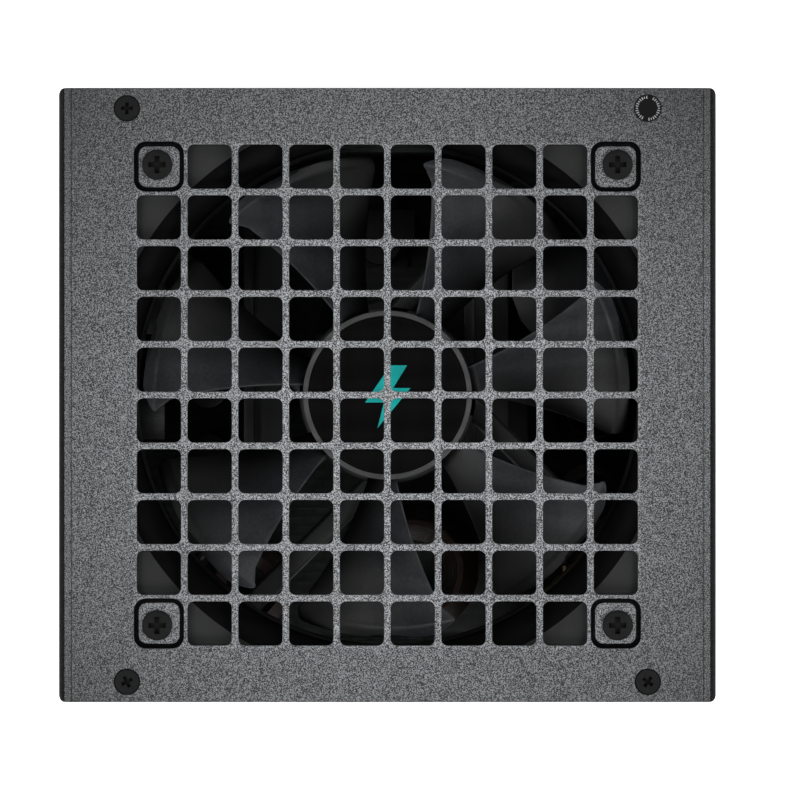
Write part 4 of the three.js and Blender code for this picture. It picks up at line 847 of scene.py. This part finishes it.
def add_impeller():
    low, high = box_mm("fan_impeller")
    fan = Shape()
    top, bottom = high.z, low.z
    recess = LABEL_RADIUS + 0.1
    fan.lathe([
        (0, top - LABEL_RECESS), (recess - 0.05, top - LABEL_RECESS), (recess, top - LABEL_RECESS + 0.05),
    ], HUB_SIDES)
    # The label recess wall and the hub's rim take the painted highlight.
    fan.lathe([
        (recess, top - LABEL_RECESS + 0.05), (recess, top - 0.08), (recess + 0.08, top),
        (HUB_RADIUS - 0.3, top), (HUB_RADIUS - 0.09, top - 0.09), (HUB_RADIUS, top - 0.3),
    ], HUB_SIDES, finish=1)
    fan.lathe([
        (HUB_RADIUS, top - 0.3), (HUB_RADIUS, bottom + 0.2), (HUB_RADIUS - 0.2, bottom),
        (HUB_RADIUS - HUB_WALL, bottom), (HUB_RADIUS - HUB_WALL, top - LABEL_RECESS - HUB_WALL),
        (0, top - LABEL_RECESS - HUB_WALL),
    ], HUB_SIDES)
    for index in range(BLADE_COUNT):
        add_blade(fan, FIRST_BLADE_ANGLE + index * 360 / BLADE_COUNT)
    piece = fan.build("fan_rotor_moulding", [IMPELLER_PLASTIC, HUB_RIM_HIGHLIGHT])
    weighted(piece)
    riding(piece, "fan_rotor", "impeller_plastic", "fan_impeller")


def add_hub_label():
    low, high = box_mm("hub_label")
    label = Shape()
    label.lathe([(0, high.z), (LABEL_RADIUS - 0.2, high.z), (LABEL_RADIUS, high.z - 0.08),
                 (LABEL_RADIUS, low.z), (0, low.z)], HUB_SIDES)
    bolt = ((0.6, 7.2), (-5.2, -1.3), (-0.9, -1.3), (-2.4, -7.2), (5.2, 2.0), (1.2, 2.0), (4.4, 7.2))
    label.loft([[(x + 0.1, y - 0.4, z) for x, y in bolt] for z in (high.z - 0.02, high.z + 0.02)], 1)
    piece = label.build("hub_label_film", [LABEL_BLACK, LABEL_TEAL])
    weighted(piece)
    riding(piece, "fan_rotor", "label_film", "hub_label")


def square_reach(turn, half, corner):
    """Distance from the middle to a rounded square's outline, in a direction."""
    low, high = 0.0, 2 * half
    for _ in range(40):
        reach = (low + high) / 2
        over_x = max(abs(reach * math.cos(turn)) - (half - corner), 0)
        over_y = max(abs(reach * math.sin(turn)) - (half - corner), 0)
        if math.hypot(over_x, over_y) > corner:
            high = reach
        else:
            low = reach
    return low


def add_fan_frame():
    housing = Shape()
    top, bottom = FAN_HIGH.z, FAN_LOW.z
    half = FAN_HIGH.x
    loops = []
    for side in range(FAN_SIDES):
        turn = 2 * math.pi * side / FAN_SIDES
        reach = square_reach(turn, half, FAN_CORNER)
        lip = min(FAN_MOUTH, reach - 0.35)
        profile = [(FAN_BORE, bottom), (FAN_BORE, top - FAN_MOUTH_DEPTH - 3)]
        for step in range(MOUTH_STEPS + 1):
            radius = FAN_BORE + (lip - FAN_BORE) * step / MOUTH_STEPS
            share = 1 - (radius - FAN_BORE) / (FAN_MOUTH - FAN_BORE)
            profile.append((radius, top - FAN_MOUTH_DEPTH * share ** 2))
        profile.append((reach - FAN_EDGE, profile[-1][1]))
        profile.append((reach, profile[-1][1] - FAN_EDGE))
        tube = min(FAN_TUBE, reach)
        profile += [
            (reach, top - FAN_FLANGE),
            (tube, top - FAN_FLANGE - 0.1),
            (tube, bottom + FAN_FLANGE + 0.1),
            (reach, bottom + FAN_FLANGE),
            (reach, bottom + FAN_EDGE),
            (reach - FAN_EDGE, bottom),
        ]
        loops.append(housing.ring([(r * math.cos(turn), r * math.sin(turn), z) for r, z in profile]))
    count = len(loops[0])
    for side in range(FAN_SIDES):
        first, second = loops[side], loops[(side + 1) % FAN_SIDES]
        for index in range(count):
            after = (index + 1) % count
            # The mouth's faces take the painted-shade plastic.
            mouth = 1 <= index <= MOUTH_STEPS + 1
            housing.face([first[index], first[after], second[after], second[index]], 1 if mouth else 0)
    housing.lathe([
        (0, bottom),
        (MOTOR_RADIUS - FAN_EDGE, bottom),
        (MOTOR_RADIUS, bottom + FAN_EDGE),
        (MOTOR_RADIUS, bottom + MOTOR_HEIGHT),
        (MOTOR_RADIUS - MOTOR_WALL + 0.2, bottom + MOTOR_HEIGHT),
        (MOTOR_RADIUS - MOTOR_WALL, bottom + MOTOR_FLOOR),
        (0, bottom + MOTOR_FLOOR),
    ], 96)
    start = math.sqrt(MOTOR_RADIUS ** 2 - STRUT_SKEW ** 2) - STRUT_WIDTH / 2
    for index in range(4):
        turn = math.pi / 2 * (index + 0.5)
        across = (math.cos(turn), math.sin(turn))
        along = (-math.sin(turn), math.cos(turn))
        rings = []
        for reach in (start, STRUT_REACH):
            ring = []
            for share, lift in STRUT_SECTION:
                skew = STRUT_SKEW + share * STRUT_WIDTH
                ring.append((
                    reach * across[0] + skew * along[0],
                    reach * across[1] + skew * along[1],
                    bottom + lift * STRUT_THICKNESS,
                ))
            rings.append(ring)
        housing.loft(rings)
    piece = housing.build("fan_housing", [FRAME_PLASTIC, MOUTH_SHADE_PLASTIC], weld=False)
    weighted(piece)
    riding(piece, "housing", "frame_plastic", "fan_frame")


# ---------------------------------------------------------------- output sockets
def outward(u, v, w):
    return (u, w, v)


def add_pin(pins, x, z, back):
    """A square contact pin with a point, standing on the back of its cell."""
    rings = []
    for half, y in (
        (PIN_HALF, back - 0.1),
        (PIN_HALF, back + PIN_LENGTH),
        (PIN_HALF * 0.45, back + PIN_LENGTH + PIN_POINT),
    ):
        rings.append([(x + u * half, y, z + v * half) for u, v in ((-1, -1), (1, -1), (1, 1), (-1, 1))])
    pins.loft(rings)


def add_sockets():
    pins = Shape()
    for node in [name for name in sorted(frame["nodes"]) if "_socket_" in name]:
        low, high = box_mm(node)
        face, back = high.y, low.y
        width = high.x - low.x
        height = high.z - low.z - LATCH_HEIGHT
        middle_x = (low.x + high.x) / 2
        middle_z = low.z + height / 2
        columns = round((width - 0.2) / CELL_PITCH)
        cells = []
        for column in range(columns):
            for row in (0, 1):
                x = middle_x + (column - (columns - 1) / 2) * CELL_PITCH
                z = middle_z + (row - 0.5) * CELL_PITCH
                if (column * 2 + row * 3 + columns) % 4 < 2:
                    cells.append(clipped(x, z, CELL_SIZE / 2, 0.85))
                else:
                    cells.append(rounded(x, z, CELL_SIZE / 2, CELL_SIZE / 2, 0.25, steps=2))
                add_pin(pins, x, z, face - CELL_DEPTH)
        body = Shape()
        shell = rounded(middle_x, middle_z, width / 2, height / 2, 0.5, steps=3)
        plate(body, shell, cells, face, face - CELL_DEPTH, 0.16, outward, steps=2)
        plate(body, shell, [], face - CELL_DEPTH, back, 0.05, outward, steps=1)
        latch_half = LATCH_HEIGHT / 2 + 0.1
        latch = rounded(middle_x, high.z - latch_half, LATCH_HALF, latch_half, 0.25, steps=2)
        plate(body, latch, [], face, face - LATCH_LENGTH, 0.2, outward, steps=2)
        piece = body.build(f"{node}_housing", [CONNECTOR_BLACK], weld=False)
        weighted(piece)
        riding(piece, "housing", "connector_plastic", node)
    piece = pins.build("socket_contact_pins", [PIN_METAL], weld=False)
    riding(piece, "housing", "pin_brass")


# ---------------------------------------------------------------- light, floor and camera
def softbox(name, place, size, power):
    light = bpy.data.lights.new(name, "AREA")
    light.shape = "RECTANGLE"
    light.size, light.size_y = size
    light.energy = power
    light.spread = math.pi
    lamp = bpy.data.objects.new(name, light)
    COLLECTION.objects.link(lamp)
    lamp.location = place
    aim = Vector((0, 0, FACE_Z * MM)) - Vector(place)
    lamp.rotation_euler = aim.to_track_quat("-Z", "Y").to_euler()


def add_stage():
    mesh = bpy.data.meshes.new("floor")
    corners = [(x * FLOOR_REACH, y * FLOOR_REACH, 0) for x, y in ((-1, -1), (1, -1), (1, 1), (-1, 1))]
    mesh.from_pydata(corners, [], [(0, 1, 2, 3)])
    floor = bpy.data.objects.new("floor", mesh)
    COLLECTION.objects.link(floor)
    floor.location.z = -FLOOR_DROP
    paper = Finish("floor_paper", specular=0.1)
    tone = paper.ramp(paper.noise(60, detail=2), ((0.3, (0.86, 0.86, 0.86)), (0.7, (0.90, 0.90, 0.90))))
    paper.shader.inputs["Emission Strength"].default_value = FLOOR_GLOW
    paper.shader.inputs["Emission Color"].default_value = (1, 1, 1, 1)
    mesh.materials.append(paper.done(tone, paper.span(paper.noise(5), 0.7, 0.8)))
    world = bpy.data.worlds.new("studio")
    bpy.context.scene.world = world
    world.use_nodes = True
    world.node_tree.nodes["Background"].inputs["Color"].default_value = (1, 1, 1, 1)
    world.node_tree.nodes["Background"].inputs["Strength"].default_value = WORLD_GLOW
    for name, place, size, power in SOFTBOXES:
        softbox(name, place, size, power)


def add_camera():
    camera = bpy.data.cameras.new("camera")
    camera.lens = LENS
    camera.sensor_width = SENSOR
    view = bpy.data.objects.new("camera", camera)
    COLLECTION.objects.link(view)
    view.location = CAMERA_PLACE
    camera.clip_start, camera.clip_end = 0.01, 10
    bpy.context.scene.camera = view


add_camera()
add_stage()
add_cover()
add_screws()
add_seal()
add_impeller()
add_hub_label()
add_fan_frame()
add_sockets()
bpy.context.scene.view_settings.view_transform = "Standard"
